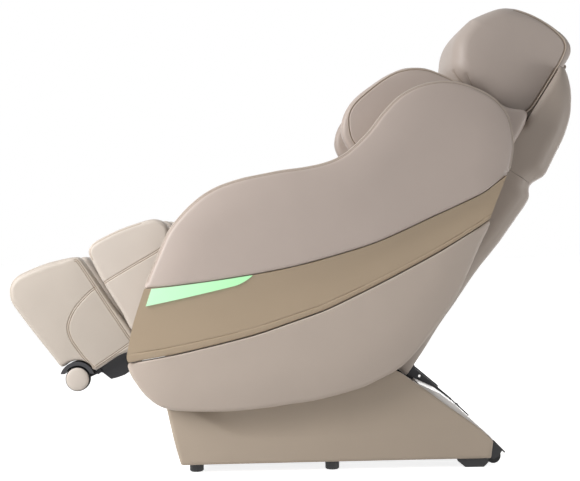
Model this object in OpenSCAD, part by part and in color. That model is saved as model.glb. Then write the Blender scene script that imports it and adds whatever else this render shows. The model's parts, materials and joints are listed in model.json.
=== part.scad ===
// Reclining massage chair with gliding seat, tilting arms, reclining back and raised leg rest.
// Millimetres. +Z is up and the chair faces -Y, with the sitter's left side at +X. The origin is
// on the floor under the middle of the chair. It is drawn reclined, with the leg rest raised.

/* [Overall] */
// Width over both arm shells
body_w = 770; // [750:5:800]
// Width of one arm, from its outer skin to its seat side
arm_w = 109; // [105:1:115]
// Depth of the outer shell of an arm
arm_shell_d = 40; // [34:1:46]
// Free gap between the arms and everything that moves between them
arm_gap = 14; // [10:1:18]
// Depth of the rounding round the rim of an arm shell
arm_rim = 20; // [12:1:26]
// Dark joint between the sweeping band and the lower arm shell
band_joint = 3; // [2:0.5:5]

/* [Base] */
// Height of the base covers and frame above the floor
ground_gap = 22; // [20:1:26]
// Height of the steel tubes of the base
tube_h = 30; // [24:1:34]
// Width of the steel tubes of the base
tube_w = 26; // [20:1:30]
// Gap between a base cover and the arm shell beside it
cover_gap = 15; // [10:1:20]
// Thickness of the base cover at its front edge
cover_t = 30; // [26:1:34]
// How much the base cover narrows towards the rear
cover_taper = 22; // [16:1:24]
// Depth of the scoop in the base cover
scoop_d = 10; // [6:1:14]
// Diameter of the round feet
foot_d = 36; // [30:1:40]
// Wall of the sheet-metal and plastic covers
skin_t = 4; // [3:0.5:5]
// Diameter of the transport wheels
wheel_d = 38; // [34:1:40]
// Width of the transport wheels
wheel_w = 14; // [12:1:16]

/* [Glide] */
// How far the middle of a glide rail stands inside the base covers
rail_inset = 85; // [82:1:95]
// Width of a glide rail
rail_w = 20; // [16:1:22]
// Height of a glide rail
rail_h = 25; // [20:1:28]
// Running gap round a glide rail
rail_gap = 0.3; // [0.2:0.05:0.5]
// Forward travel of the seat on the rails
glide_travel = 120; // [80:5:140]

/* [Pivots] */
// Tilt pivot, distance behind the origin
pivot_y = 305; // [300:1:310]
// Tilt pivot, height
pivot_z = 235; // [230:1:240]
// Recline pivot, distance behind the origin
hip_y = 211; // [206:1:216]
// Recline pivot, height
hip_z = 435; // [430:1:440]
// Leg rest pivot, distance in front of the origin
knee_y = 262; // [257:1:267]
// Leg rest pivot, height
knee_z = 465; // [460:1:470]
// Diameter of the recline shaft
hip_shaft_d = 24; // [20:1:28]
// Diameter of the leg rest shaft
knee_shaft_d = 20; // [16:1:24]
// Diameter of the tilt pins
tilt_pin_d = 16; // [14:1:20]
// Radial running clearance of every shaft in its bore
run_fit = 0.05; // [0.02:0.01:0.09]
// Thickness of the steel pivot plates
plate_t = 10; // [8:1:11]

/* [Seat] */
// Slope of the seat down towards the back
seat_angle = 20; // [18:1:22]
// Thickness of the seat cushion
cushion_t = 88; // [80:1:94]
// Thickness of the seat pan
pan_t = 6; // [4:1:8]
// How far the stays that carry the seat stand inside its width
stay_inset = 122; // [118:1:126]

/* [Back] */
// Lean of the back from upright
back_angle = 33; // [31:1:35]
// How far a side of the hard back shell stands inside the seat's width
shell_inset = 12; // [8:1:20]
// Half distance between the massage rails
massage_rail_x = 118; // [114:1:122]
// Diameter of a massage roller
massage_roller_d = 56; // [50:1:58]
// Width of a massage roller
massage_roller_w = 30; // [24:1:34]
// Travel of the massage carriage down from rest
carriage_down = 200; // [150:5:210]
// Travel of the massage carriage up from rest
carriage_up = 120; // [80:5:125]
// Width of the head pillow
pillow_w = 370; // [350:5:385]
// Width of a shoulder wing
wing_w = 57; // [50:1:60]

/* [Leg rest] */
// Slope of the leg rest below horizontal
leg_angle = 33; // [31:1:35]
// How far a side of the leg rest stands inside the seat's width
leg_inset = 22; // [18:1:26]
// Width of an outer padded wall of the leg rest
leg_wall = 50; // [44:1:54]
// Width of the padded divider between the legs
divider_w = 60; // [50:1:70]
// Diameter of the two sliding rods of the foot rest
slide_rod_d = 18; // [14:1:20]
// Travel of the foot rest
foot_travel = 110; // [80:5:120]
// Diameter of a foot rest roller
roller_d = 64; // [60:1:66]
// Width of a foot rest roller
roller_w = 30; // [24:1:34]

/* [Hidden] */
$fn = 48;

half_w = body_w / 2;
shell_in = half_w - arm_shell_d;     // inner face of the arm shells
arm_in = half_w - arm_w;             // seat side of the arms
seat_half = arm_in - arm_gap;        // half width of what moves between the arms
base_half = shell_in - cover_gap - cover_t; // half width inside the base covers
rail_x = base_half - rail_inset;     // middle of a glide rail
shell_half = seat_half - shell_inset; // half width of the hard back shell
rail_z = ground_gap + tube_h + 43;   // underside of the glide rails
rail_top = rail_z + rail_h;
beam_top = rail_top + 22;            // top of the carriage beams
carriage_y = [-60, 330];             // ends of the carriage beams, with the seat fully back
tube_y = [-262, 87, 450];            // cross tubes of the base
post_y = [-190, 87, 390];            // posts under the glide rails
stay_x = seat_half - stay_inset;     // inner face of the carriage's rear stays
stay_t = plate_t + 2;
seat_plate_x = stay_x + stay_t + 2;  // inner face of the seat's side plates
arm_plate_x = seat_plate_x + plate_t + 7; // inner face of the plates that swing on the seat
shaft_end = arm_plate_x + plate_t + 5;
leg_half = seat_half - leg_inset;    // half width of the leg rest
wall_in = leg_half - leg_wall;       // inner face of the leg rest's outer walls
slide_x = 110;                       // the foot rest's sliding rods
lever_x = 60;                        // levers and actuators, leg at +X and back at -X
lever_t = 12;
leg_lever_r = 85;                    // height of the leg actuator's rod under its pivot
back_lever_r = 100;                  // the same for the back actuator
actuator_d = 34;                     // body of an actuator
actuator_rod_d = 20;
lever_pin_d = 12;
lever_slot_w = lever_pin_d + 4;
leg_mid = 6;                         // turn from rest at which a lever hangs straight down
back_mid = 3.5;
roller_at = [-387, -22];             // foot rest roller, in the leg rest's own frame
massage_z = 360;                     // massage carriage at rest, in the back's own frame
rail_ends = [massage_z - carriage_down - 100, massage_z + carriage_up + 106];
massage_reach = 52;                  // massage rollers in front of their shaft
massage_spread = 75;                 // massage rollers above and below their shaft
massage_arm_x = 60;
pillow_pivot = [112, 808];           // pillow hinge, in the back's own frame
pillow_tab_x = 60;
shell_gap = 8;                       // wall of the hard back shell

// Side outlines of an arm: distance behind the origin and height, front to rear
upper_rim = [
    [-379, 482], [-367, 512], [-353, 544], [-337, 580], [-322, 612], [-305, 637], [-285, 660],
    [-264, 681], [-243, 699], [-221, 714], [-194, 728], [-164, 739], [-128, 749], [-87, 757],
    [-29, 767], [29, 774], [78, 784],
    [118, 800], [152, 825], [190, 862], [230, 912], [272, 951], [318, 974], [370, 984],
    [420, 980], [470, 962], [512, 935], [540, 899], [552, 858], [555, 812], [546, 762], [538, 752]];
upper_sill = [[-376, 476], [-304, 482], [-163, 499], [-21, 522], [98, 551], [210, 585],
    [339, 641], [462, 696], [501, 721], [533, 744]];
band_sill = [[-421, 291], [-378, 298], [-307, 310], [-236, 325], [-166, 341], [-95, 359], [-24, 382],
    [56, 409], [96, 425], [186, 467], [277, 512], [368, 560], [458, 614], [489, 635]];
band_front = [[-425, 303], [-421, 328], [-408, 388], [-379, 470]];
band_rear = [[515, 698], [533, 742]];
lower_rim = [[-425, 281], [-419, 261], [-404, 236], [-386, 211], [-365, 191], [-345, 178],
    [-318, 169], [-283, 165], [-239, 163], [-169, 163], [-98, 168], [-27, 177], [52, 188], [151, 213],
    [204, 235], [255, 262], [291, 294], [330, 340], [370, 392], [410, 452], [440, 514],
    [466, 571], [484, 606], [491, 622]];
light_outline = [[-360, 473], [-378, 430], [-304, 445], [-233, 461], [-170, 473], [-141, 481],
    [-122, 493], [-108, 503], [-163, 497], [-304, 480]];

// Side outline of a base cover and the line of its scoop
cover_outline = [[-341, 205], [-324, 122], [-312, 70], [-299, ground_gap], [493, ground_gap + 2],
    [499, 67], [480, 88], [445, 115], [380, 162], [332, 199], [283, 234], [261, 249], [235, 256],
    [100, 215]];
scoop_line = [[-345, 210], [-262, 155], [-221, 129], [-182, 106], [-150, 93], [-121, 89], [-43, 87],
    [77, 92], [247, 105], [345, 116], [445, 122], [470, 140], [235, 262], [100, 220]];
rear_cover_line = [[366, 190], [405, 160], [500, 70], [512, 56], [520, ground_gap]];
rear_cover_head = [312, 216];        // where the rear cover starts, under the back shell
wing_flange = 24;                    // depth of its flanges beside the side covers
rear_slope = atan2(rear_cover_line[1][1] - rear_cover_line[2][1],
    rear_cover_line[2][0] - rear_cover_line[1][0]);
panel_at = (rear_cover_line[1] + rear_cover_line[2]) / 2;

// Outlines in the leg rest's own frame: Y towards the seat, Z away from the rods
foot_profile = [[-204, -30], [-204, 100], [-203, 224], [-208, 244], [-224, 253], [-254, 265],
    [-292, 278], [-344, 289], [-372, 291], [-394, 284], [-410, 268], [-420, 243], [-420, 209],
    [-417, 154], [-413, 99], [-408, 47], [-405, 26], [-387, 27], [-368, 23], [-352, 13], [-342, -2],
    [-338, -16], [-338, -30]];
calf_profile = [[-34, -8], [-27, 40], [-12, 88], [8, 130], [31, 170], [31, 191], [21, 208], [6, 219],
    [-24, 229], [-56, 238], [-89, 245], [-124, 250], [-151, 252], [-168, 248], [-180, 238],
    [-184, 215], [-191, 150], [-194, 60], [-195, -8]];

// Outlines in the back's own frame: Y towards the rear, Z up along the back
shell_upper_line = [[88, 468], [190, 468], [191, 478], [207, 505], [208, 530], [206, 547],
    [203, 576], [199, 617], [192, 650], [182, 681], [167, 710], [150, 736], [128, 760], [108, 775],
    [100, 772], [99, 645], [90, 618], [88, 600]];
shell_lower_line = [[88, -60], [96, -100], [120, -125], [182, -132], [182, 30], [186, 100],
    [188, 170], [192, 223], [197, 264], [201, 303], [203, 341], [205, 380], [207, 418], [208, 438],
    [203, 447], [191, 456], [190, 466], [88, 466]];
side_profile = [[60, -50], [88, 20], [88, 600], [20, 604], [-100, 590], [-153, 588], [-209, 576],
    [-254, 549], [-284, 497], [-303, 452], [-318, 414], [-322, 386], [-318, 350], [-300, 314],
    [-262, 290], [-200, 262], [-160, 200], [-150, 120], [-140, 60], [-106, 22], [-40, -18]];
pillow_profile = [[46, 599], [72, 601], [90, 612], [99, 632], [103, 660], [103, 732], [103, 800],
    [101, 824], [92, 840], [66, 855], [30, 862], [-10, 865], [-50, 863], [-86, 854], [-118, 835],
    [-155, 786], [-180, 745], [-194, 706], [-195, 665], [-186, 642], [-160, 620], [-110, 608],
    [-30, 602]];

// ---- helpers ----
function spline_point(a, b, c, d, t) = 0.5 * (2 * b + (c - a) * t
    + (2 * a - 5 * b + 4 * c - d) * t * t + (3 * b - a - 3 * c + d) * t * t * t);
function spline(p, n) = concat([for (i = [0:len(p) - 2]) for (k = [0:n - 1])
    spline_point(p[max(i - 1, 0)], p[i], p[i + 1], p[min(i + 2, len(p) - 1)], k / n)],
    [p[len(p) - 1]]);
function lengths(p) = [for (i = 0, s = 0; i < len(p);
    s = s + (i < len(p) - 1 ? norm(p[i + 1] - p[i]) : 0), i = i + 1) s];
function point_at(p, c, s, i = 1) = i >= len(p) - 1 || c[i] >= s
    ? p[i - 1] + (p[i] - p[i - 1]) * (s - c[i - 1]) / (c[i] - c[i - 1])
    : point_at(p, c, s, i + 1);
function even(p, n) = let (c = lengths(p)) [for (k = [0:n]) point_at(p, c, c[len(p) - 1] * k / n)];
function middle(p, i = 0) = i == len(p) ? [0, 0] : p[i] / len(p) + middle(p, i + 1);
function inset(p, d) = let (m = middle(p)) [for (q = p) q + (m - q) * d / norm(m - q)];
function area(p) = [for (i = [0:len(p) - 1]) cross(p[i], p[(i + 1) % len(p)])]
    * [for (i = p) 0.5];
function reversed(p) = [for (i = [len(p) - 1:-1:0]) p[i]];

module along_x(x0, x1) {
    translate([x0, 0, 0]) rotate([90, 0, 90]) linear_extrude(x1 - x0) children();
}
module rod(x0, x1, y, z, d) {
    translate([x0, y, z]) rotate([0, 90, 0]) cylinder(h = x1 - x0, d = d);
}
module box(x, y, z) {
    translate([x[0], y[0], z[0]]) cube([x[1] - x[0], y[1] - y[0], z[1] - z[0]]);
}
module both_sides() {
    children();
    mirror([1, 0, 0]) children();
}
module on_side(side) {
    mirror([side > 0 ? 0 : 1, 0, 0]) children();
}
module in_back() {
    translate([0, hip_y, hip_z]) rotate([-back_angle, 0, 0]) children();
}
module in_leg() {
    translate([0, -knee_y, knee_z]) rotate([leg_angle, 0, 0]) children();
}
module in_seat() {
    translate([0, -knee_y, knee_z]) rotate([-seat_angle, 0, 0]) children();
}
module in_rear_slope() {
    translate([0, panel_at[0], panel_at[1]]) rotate([-rear_slope, 0, 0]) children();
}

// A padded block: a side outline carried from x0 to x1, drawn in by the given insets at each end.
module padded(line, x0, x1, round0, round1) {
    outline = area(line) < 0 ? reversed(line) : line;
    n = len(outline);
    stations = [
        [x0, round0], [x0 + 0.12 * round0, 0.55 * round0], [x0 + 0.45 * round0, 0.18 * round0],
        [x0 + 1.2 * round0, 0], [x1 - 1.2 * round1, 0], [x1 - 0.45 * round1, 0.18 * round1],
        [x1 - 0.12 * round1, 0.55 * round1], [x1, round1]];
    kept = [for (i = [0:7]) if ((round0 > 0 || i > 2) && (round1 > 0 || i < 5)) stations[i]];
    m = middle(outline);
    rings = [for (s = kept) for (q = s[1] > 0 ? inset(outline, s[1]) : outline) [s[0], q[0], q[1]]];
    last = len(kept) - 1;
    base = len(rings);
    polyhedron(
        concat(rings, [[kept[0][0], m[0], m[1]], [kept[last][0], m[0], m[1]]]),
        concat(
            [for (k = [0:last - 1]) for (j = [0:n - 1]) let (a = k * n + j, b = k * n + (j + 1) % n)
                for (f = [[a, a + n, b + n], [a, b + n, b]]) f],
            [for (j = [0:n - 1]) [base, j, (j + 1) % n]],
            [for (j = [0:n - 1]) [base + 1, last * n + (j + 1) % n, last * n + j]]));
}

// A shell panel between a lower and an upper line, domed towards +X and rounded at its upper rim.
module domed_panel(low, high, x_in, x_out, rim_low, rim_high, cols, rows) {
    a = even(low, cols);
    b = even(high, cols);
    w = rows + 1;
    count = (cols + 1) * w;
    function share(j) = j / rows;
    function depth(t) = t < 0.3 ? rim_low * pow(1 - t / 0.3, 2)
        : t > 0.6 ? rim_high * pow((t - 0.6) / 0.4, 2.4) : 0;
    grid = [for (i = [0:cols]) for (j = [0:rows]) a[i] + (b[i] - a[i]) * share(j)];
    polyhedron(
        concat(
            [for (k = [0:count - 1]) [x_out - depth(share(k % w)), grid[k][0], grid[k][1]]],
            [for (k = [0:count - 1]) [x_in, grid[k][0], grid[k][1]]]),
        concat(
            [for (i = [0:cols - 1]) for (j = [0:rows - 1]) let (p = i * w + j)
                for (f = [[p, p + 1, p + w + 1], [p, p + w + 1, p + w],
                    [count + p, count + p + w + 1, count + p + 1],
                    [count + p, count + p + w, count + p + w + 1]]) f],
            [for (i = [0:cols - 1]) let (p = i * w, q = i * w + rows)
                for (f = [[p, p + w, count + p + w, count + p],
                    [q + w, q, count + q, count + q + w]]) f],
            [for (j = [0:rows - 1]) let (p = j, q = cols * w + j)
                for (f = [[p + 1, p, count + p, count + p + 1],
                    [q, q + 1, count + q + 1, count + q]]) f]));
}

// ---- base ----
module base_frame() {
    z = [ground_gap, ground_gap + tube_h];
    side = rail_x + 35;
    color("dimgray") {
        for (y = tube_y)
            box([-base_half, base_half], [y - tube_w / 2, y + tube_w / 2], z);
        both_sides() {
            box([side - tube_w / 2, side + tube_w / 2], [tube_y[0], tube_y[2]], z);
            for (y = post_y) {
                box([rail_x - 5, side], [y - 10, y + 10], z);
                box([rail_x - 5, rail_x + 5], [y - 10, y + 10], [z[0], rail_z]);
            }
        }
        box([-side, side], [tube_y[0], 90], [z[0], z[0] + skin_t]);
    }
}
module glide_rails() {
    color("silver") both_sides()
        box([rail_x - rail_w / 2, rail_x + rail_w / 2], [carriage_y[0] - glide_travel - 25, 405],
            [rail_z, rail_top]);
}
module base_cover(side) {
    color("#b2a596") on_side(side) intersection() {
        union() {
            along_x(base_half, base_half + cover_t - scoop_d) polygon(cover_outline);
            difference() {
                along_x(base_half, base_half + cover_t) polygon(cover_outline);
                along_x(base_half - 1, base_half + cover_t + 1) polygon(scoop_line);
            }
        }
        translate([0, 0, -1]) linear_extrude(400) polygon([[base_half, -360], [base_half, 520],
            [base_half + cover_t - cover_taper, 520], [base_half + cover_t, -340],
            [base_half + cover_t, -360]]);
    }
}
module base_front_cover() {
    front = tube_y[0] - tube_w / 2;
    color("#a89b8c") difference() {
        box([-base_half, base_half], [front - skin_t, front], [ground_gap, 190]);
        for (x = [-150:30:150])
            box([x - 4, x + 4], [front - skin_t - 1, front + 1], [110, 160]);
    }
}
function strip_under(line, depth) = concat(line, reversed([for (p = line) p - [depth, depth]]));
module rear_strip(top) {
    along_x(-rail_x - 35, rail_x + 35)
        polygon(strip_under(concat([rear_cover_head], rear_cover_line), top));
}
module base_rear_cover() {
    color("ivory") difference() {
        rear_strip(skin_t);
        both_sides() box([stay_x - 4, stay_x + stay_t + 4], [300, 432], [80, 260]);
        in_rear_slope() box([-50, 50], [-22, 22], [-20, 5]);
    }
    // wings out to the side covers, above the wheels, with a flange down beside each cover
    wing_line = [rear_cover_head, rear_cover_line[0], rear_cover_line[1],
        0.3 * rear_cover_line[1] + 0.7 * rear_cover_line[2]];
    color("ivory") both_sides() {
        along_x(rail_x + 34, base_half) polygon(strip_under(wing_line, skin_t));
        along_x(base_half - skin_t, base_half) polygon(strip_under(wing_line, wing_flange));
    }
    foot_of = rear_cover_line[4];
    knee_of = rear_cover_line[3];
    color("ivory") both_sides() along_x(rail_x + 6, rail_x + 16) polygon([
        [tube_y[2] + tube_w / 2, ground_gap], foot_of - [skin_t, 0], knee_of - [skin_t, skin_t],
        [tube_y[2] + tube_w / 2, ground_gap + tube_h]]);
}
module base_feet() {
    color("#2b2b2b") {
        for (y = [tube_y[0], tube_y[1]])
            both_sides() translate([base_half - 14, y, 0]) {
                cylinder(h = 3, d1 = foot_d - 6, d2 = foot_d);
                translate([0, 0, 3]) cylinder(h = ground_gap - 3, d = foot_d);
            }
        both_sides() along_x(base_half - 16, base_half - 1) polygon([[409, 16], [428, 0], [476, 0],
            [488, 12], [488, ground_gap], [409, ground_gap]]);
    }
}
wheel_at = [504, wheel_d / 2 + 5];
wheel_x = base_half - 30;
module wheel_forks() {
    color("#1f1f1f") both_sides() {
        for (x = [wheel_x - wheel_w / 2 - 5, wheel_x + wheel_w / 2 + 1])
            along_x(x, x + 4) polygon([[tube_y[2] + tube_w / 2, 30], [wheel_at[0], 16],
                [wheel_at[0] + 14, 24], [wheel_at[0] + 22, 38], [wheel_at[0] + 2, 58],
                [tube_y[2] + tube_w / 2, 62]]);
        box([wheel_x - wheel_w / 2 - 5, wheel_x + wheel_w / 2 + 5],
            [tube_y[2] + tube_w / 2, tube_y[2] + tube_w / 2 + 4], [30, 62]);
        rod(wheel_x - wheel_w / 2 - 5, wheel_x + wheel_w / 2 + 5, wheel_at[0], wheel_at[1], 8);
        // guard over the wheel
        along_x(wheel_x - wheel_w / 2 - 5, wheel_x + wheel_w / 2 + 5) translate(wheel_at)
            polygon([[2, 33], [22, 13], [28, 8], [30, 11], [4, 38]]);
    }
}
module transport_wheel(side) {
    color("#3a3a3a") on_side(side) difference() {
        union() {
            rod(wheel_x - wheel_w / 2 + 1, wheel_x + wheel_w / 2 - 1, wheel_at[0], wheel_at[1], wheel_d);
            rod(wheel_x - wheel_w / 2, wheel_x + wheel_w / 2, wheel_at[0], wheel_at[1], 16);
        }
        rod(wheel_x - wheel_w, wheel_x + wheel_w, wheel_at[0], wheel_at[1], 8 + 2 * run_fit);
    }
}
module control_box() {
    z = ground_gap + skin_t;
    color("#4c5054") {
        box([-170, -30], [-215, -75], [z, z + 62]);
        for (y = [-200:12:-90])
            box([-150, -50], [y, y + 5], [z + 62, z + 66]);
    }
}
module air_pump() {
    z = ground_gap + skin_t;
    color("#6b6f72") {
        box([30, 170], [-215, -75], [z, z + 8]);
        for (x = [65, 135])
            translate([x, -145, z + 8]) cylinder(h = 54, d = 58);
        box([65, 135], [-165, -125], [z + 8, z + 34]);
    }
}
module power_panel() {
    color("#242424") in_rear_slope() difference() {
        union() {
            box([-56, 56], [-28, 28], [0, 3]);
            box([-48, 48], [-20, 20], [-16, 0]);
        }
        box([18, 40], [-15.5, 15.5], [-17, 4]);
        box([-40, -10], [-11, 11], [-13, 4]);
        rod(14, 44, 0, 0, 3 + 2 * run_fit);
    }
    color("silver") in_rear_slope() for (p = [[-32, 3], [-18, 3], [-25, -4]])
        box([p[0] - 1.5, p[0] + 1.5], [p[1] - 3, p[1] + 3], [-14.5, -3]);
}
module power_switch() {
    color("#111111") in_rear_slope() {
        along_x(19, 39) polygon([[-13, -8], [13, -8], [13, 3], [0, 1.5], [-13, 5]]);
        rod(15.5, 42.5, 0, 0, 3);
    }
}

// ---- glide ----
module glide_carriage() {
    color("#3b3d40") {
        both_sides() {
            difference() {
                box([rail_x - 19, rail_x + 19], carriage_y, [rail_z - 3, beam_top]);
                box([rail_x - rail_w / 2 - rail_gap, rail_x + rail_w / 2 + rail_gap],
                    carriage_y + [-1, 1],
                    [rail_z - 4, rail_top + rail_gap]);
            }
            difference() {
                union() {
                    along_x(stay_x, stay_x + stay_t) polygon([[282, beam_top - 10],
                        [330, beam_top - 10], [404, 146], [413, 150], [414, 158],
                        [pivot_y + 8, pivot_z + 10], [pivot_y - 12, pivot_z + 5],
                        [pivot_y - 12, pivot_z - 16]]);
                    rod(stay_x, stay_x + stay_t, pivot_y, pivot_z, 26);
                }
                rod(stay_x - 1, stay_x + stay_t + 1, pivot_y + 25, pivot_z - 16, 8);
            }
            rod(stay_x, seat_plate_x + plate_t + 2, pivot_y, pivot_z, tilt_pin_d);
            rod(seat_plate_x + plate_t + 1, seat_plate_x + plate_t + 5, pivot_y, pivot_z, 26);
        }
        for (y = [-40, 282])
            box([-rail_x + 15, rail_x - 15], [y, y + 24], [rail_top + 2, beam_top]);
        // screw nut block of the glide drive
        box([-22, 22], [110, 150], [rail_top - 10, beam_top]);
        box([-8, 8], [-40, 290], [rail_top + 4, beam_top - 2]);
    }
}

// ---- seat ----
module seat_plate() {
    difference() {
        union() {
            along_x(seat_plate_x, seat_plate_x + plate_t) polygon([
                [-knee_y - 24, knee_z - 6], [-knee_y - 12, knee_z + 20], [-knee_y + 18, knee_z + 20],
                [-200, 450], [0, 378], [120, 338], [155, 380], [hip_y - 26, hip_z + 6],
                [hip_y - 10, hip_z + 26], [hip_y + 20, hip_z + 20], [hip_y + 26, hip_z - 30],
                [pivot_y + 14, pivot_z + 8], [pivot_y + 8, pivot_z - 18], [pivot_y - 20, pivot_z - 12],
                [200, 296], [0, 322], [-150, 376], [-knee_y + 10, knee_z - 26]]);
        }
        rod(seat_plate_x - 1, seat_plate_x + plate_t + 1, pivot_y, pivot_z, tilt_pin_d + 2 * run_fit);
        rod(seat_plate_x - 1, seat_plate_x + plate_t + 1, hip_y, hip_z, hip_shaft_d + 2 * run_fit);
        rod(seat_plate_x - 1, seat_plate_x + plate_t + 1, -knee_y, knee_z,
            knee_shaft_d + 2 * run_fit);
    }
}
pan_y = [18, 372];                   // the pan along the seat, from the leg pivot
pan_z = 32;                          // the pan's underside above the leg pivot, along the seat
outrigger_top = knee_z - leg_lever_r - actuator_d / 2 - 2; // just under the leg actuator
module seat_frame() {
    color("#3b3d40") {
        both_sides() seat_plate();
        in_seat() box([-seat_half + 2, seat_half - 2], pan_y, [pan_z, pan_z + pan_t]);
        in_seat() both_sides()
            box([seat_plate_x, seat_plate_x + plate_t], [60, 340], [pan_z - 30, pan_z]);
        // outriggers that carry the arms
        box([-arm_in, arm_in], [-205, -180], [410, 435]);
        box([-arm_in, arm_in], [-62, -38], [outrigger_top - 23, outrigger_top]);
        actuator_bracket(lever_x, [-128, -112], knee_z - leg_lever_r);
        actuator_bracket(-lever_x, [30, 46], hip_z - back_lever_r);
    }
}
// A plate hanging from the seat pan, bored for the body of an actuator.
module actuator_bracket(x, y, z) {
    reach = (pan_z + pan_t / 2 - (y[1] + knee_y) * sin(seat_angle)) / cos(seat_angle) + knee_z;
    difference() {
        box([x - 24, x + 24], y, [z - 24, reach]);
        translate([x, y[1] + 1, z]) rotate([90, 0, 0])
            cylinder(h = y[1] - y[0] + 2, d = actuator_d + 2 * run_fit);
    }
}
module seat_cushion() {
    t = cushion_t;
    z = pan_z + pan_t;
    color("#c9bfb3") in_seat() padded([[pan_y[1] - 16, z], [pan_y[1] - 4, z + 20],
        [pan_y[1] - 4, z + t - 30], [pan_y[1] - 24, z + t - 10], [240, z + t - 6],
        [150, z + t], [80, z + t + 2], [36, z + t - 4], [14, z + t - 20], [6, z + t - 46],
        [10, z + 14], [26, z]], -seat_half, seat_half, 18, 18);
}
arm_core_line = [[-396, 330], [-366, 470], [-318, 600], [-284, 640], [-222, 668], [-144, 692],
    [-60, 706], [60, 718], [100, 760], [140, 802], [190, 848], [230, 895], [275, 936], [320, 958],
    [370, 968], [418, 964], [462, 948], [500, 922], [526, 890], [538, 855], [540, 812], [530, 772],
    [486, 706], [470, 640], [430, 556], [360, 455], [270, 372], [160, 330]];
module arm_core(side) {
    color("#bdb1a4") on_side(side) along_x(arm_in, shell_in) polygon(arm_core_line);
}
pad_line = [[-278, 634], [-222, 660], [-144, 684], [-60, 698], [54, 710], [54, 728], [44, 738],
    [-60, 732], [-144, 718], [-218, 694], [-266, 668], [-282, 650]];
module arm_pad(side) {
    color("#cfc6ba") on_side(side) difference() {
        padded(pad_line, arm_in + 1, shell_in, 6, 0);
        along_x(arm_in - 1, shell_in + 1) polygon(arm_core_line);
    }
}
module arm_upper(side) {
    color("#cdc2b5") on_side(side)
        domed_panel(spline(upper_sill, 3), spline(upper_rim, 2), shell_in, half_w, 2, arm_rim, 34, 6);
}
module arm_band(side) {
    color("#a8926f") on_side(side) along_x(shell_in, half_w - 4) polygon(concat(
        spline(band_sill, 2), band_rear, reversed(spline([for (p = upper_sill) p - [0, 1.5]], 3)),
        reversed(band_front)));
}
module arm_lower(side) {
    color("#b8aa9b") on_side(side)
        domed_panel(spline(lower_rim, 2),
            spline([for (p = band_sill) p - [band_joint * 0.4, band_joint]], 2),
            shell_in, half_w, arm_rim * 0.8, 3, 34, 6);
}
module arm_light(side) {
    color("#bdf5c4") on_side(side) along_x(half_w - 4, half_w - 1) polygon(light_outline);
}
module control_pad() {
    color("#1b1d20") translate([-arm_in, -215, 640]) rotate([12, 0, 0]) {
        box([0, 5], [-70, 70], [-22, 22]);
        for (y = [-50:20:50])
            box([5, 6.5], [y - 7, y + 7], [-8, 8]);
    }
}

// ---- actuators: a fixed screw drive whose rod pin runs in a slotted lever ----
module actuator(x, y, z) {
    color("#55585c") translate([x, y[1], z]) rotate([90, 0, 0]) difference() {
        cylinder(h = y[1] - y[0], d = actuator_d);
        translate([0, 0, -1]) cylinder(h = y[1] - y[0] + 2, d = actuator_rod_d + 2 * run_fit);
    }
}
// The rod from its inner end to its fork, whose pin is at pin_y; the fork points along way.
module actuator_rod(x, inner_y, pin_y, z, way) {
    neck_y = pin_y - way * 28;
    color("silver") translate([x, 0, z]) {
        translate([0, max(inner_y, neck_y), 0]) rotate([90, 0, 0])
            cylinder(h = abs(neck_y - inner_y), d = actuator_rod_d);
        translate([0, pin_y, 0]) facing(way) {
            box([-14, 14], [-32, -23], [-9, 9]);
            for (s = [-1, 1])
                box([s * 11 - 3, s * 11 + 3], [-32, 9], [-9, 9]);
            rod(-14, 14, 0, 0, lever_pin_d);
        }
    }
}
module facing(way) {
    mirror([0, way > 0 ? 0 : 1, 0]) children();
}
module lever(r, turn) {
    translate([lever_t / -2, 0, 0]) rotate([turn, 0, 0]) difference() {
        union() {
            along_x(0, lever_t) polygon([[-16, 0], [-14, -r - 28], [14, -r - 28], [16, 0]]);
            rod(0, lever_t, 0, 0, 44);
        }
        box([-1, lever_t + 1], [-lever_slot_w / 2, lever_slot_w / 2], [-r - 20, -r + 10]);
    }
}
module leg_actuator() {
    actuator(lever_x, [-175, -40], knee_z - leg_lever_r);
}
module leg_actuator_rod() {
    actuator_rod(lever_x, -100, -knee_y - leg_lever_r * tan(leg_mid), knee_z - leg_lever_r, -1);
}
module back_actuator() {
    actuator(-lever_x, [-30, 110], hip_z - back_lever_r);
}
module back_actuator_rod() {
    actuator_rod(-lever_x, 20, hip_y - back_lever_r * tan(back_mid), hip_z - back_lever_r, 1);
}

// ---- back ----
module back_frame() {
    x = arm_plate_x;
    color("#3b3d40") {
        rod(-shaft_end, shaft_end, hip_y, hip_z, hip_shaft_d);
        translate([-lever_x, hip_y, hip_z]) lever(back_lever_r, -back_mid);
        in_back() {
            both_sides() {
                difference() {
                    along_x(x, x + plate_t) polygon([[-20, -22], [20, -26], [90, 20], [136, 40],
                        [136, 700], [112, 700], [112, 586], [20, 580], [-24, 540], [-30, 20]]);
                    for (z = [80:120:440])
                        box([x - 1, x + plate_t + 1], [10, 90], [z, z + 80]);
                }
                box([massage_rail_x - 6, massage_rail_x + 6], [20, 60], [rail_ends[0], rail_ends[1]]);
                for (z = [rail_ends[0], rail_ends[1] - 24])
                    box([massage_rail_x - 6, x], [60, 84], [z, z + 24]);
                // brackets that hold the padded sides
                for (z = [165, 405])
                    box([x + plate_t, seat_half - wing_w], [20, 60], [z, z + 30]);
            }
            for (z = [40, 562, 676])
                box([-x, x], [112, 136], [z, z + 24]);
            for (z = [rail_ends[0] - 20, rail_ends[1] - 24])
                both_sides() box([massage_rail_x - 6, massage_rail_x + 6], [60, 124], [z, z + 24]);
        }
    }
}
module shell_piece(line, wall_line) {
    difference() {
        along_x(-shell_half, shell_half) polygon(line);
        along_x(-shell_half + shell_gap, shell_half - shell_gap) polygon(wall_line);
    }
}
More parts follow.
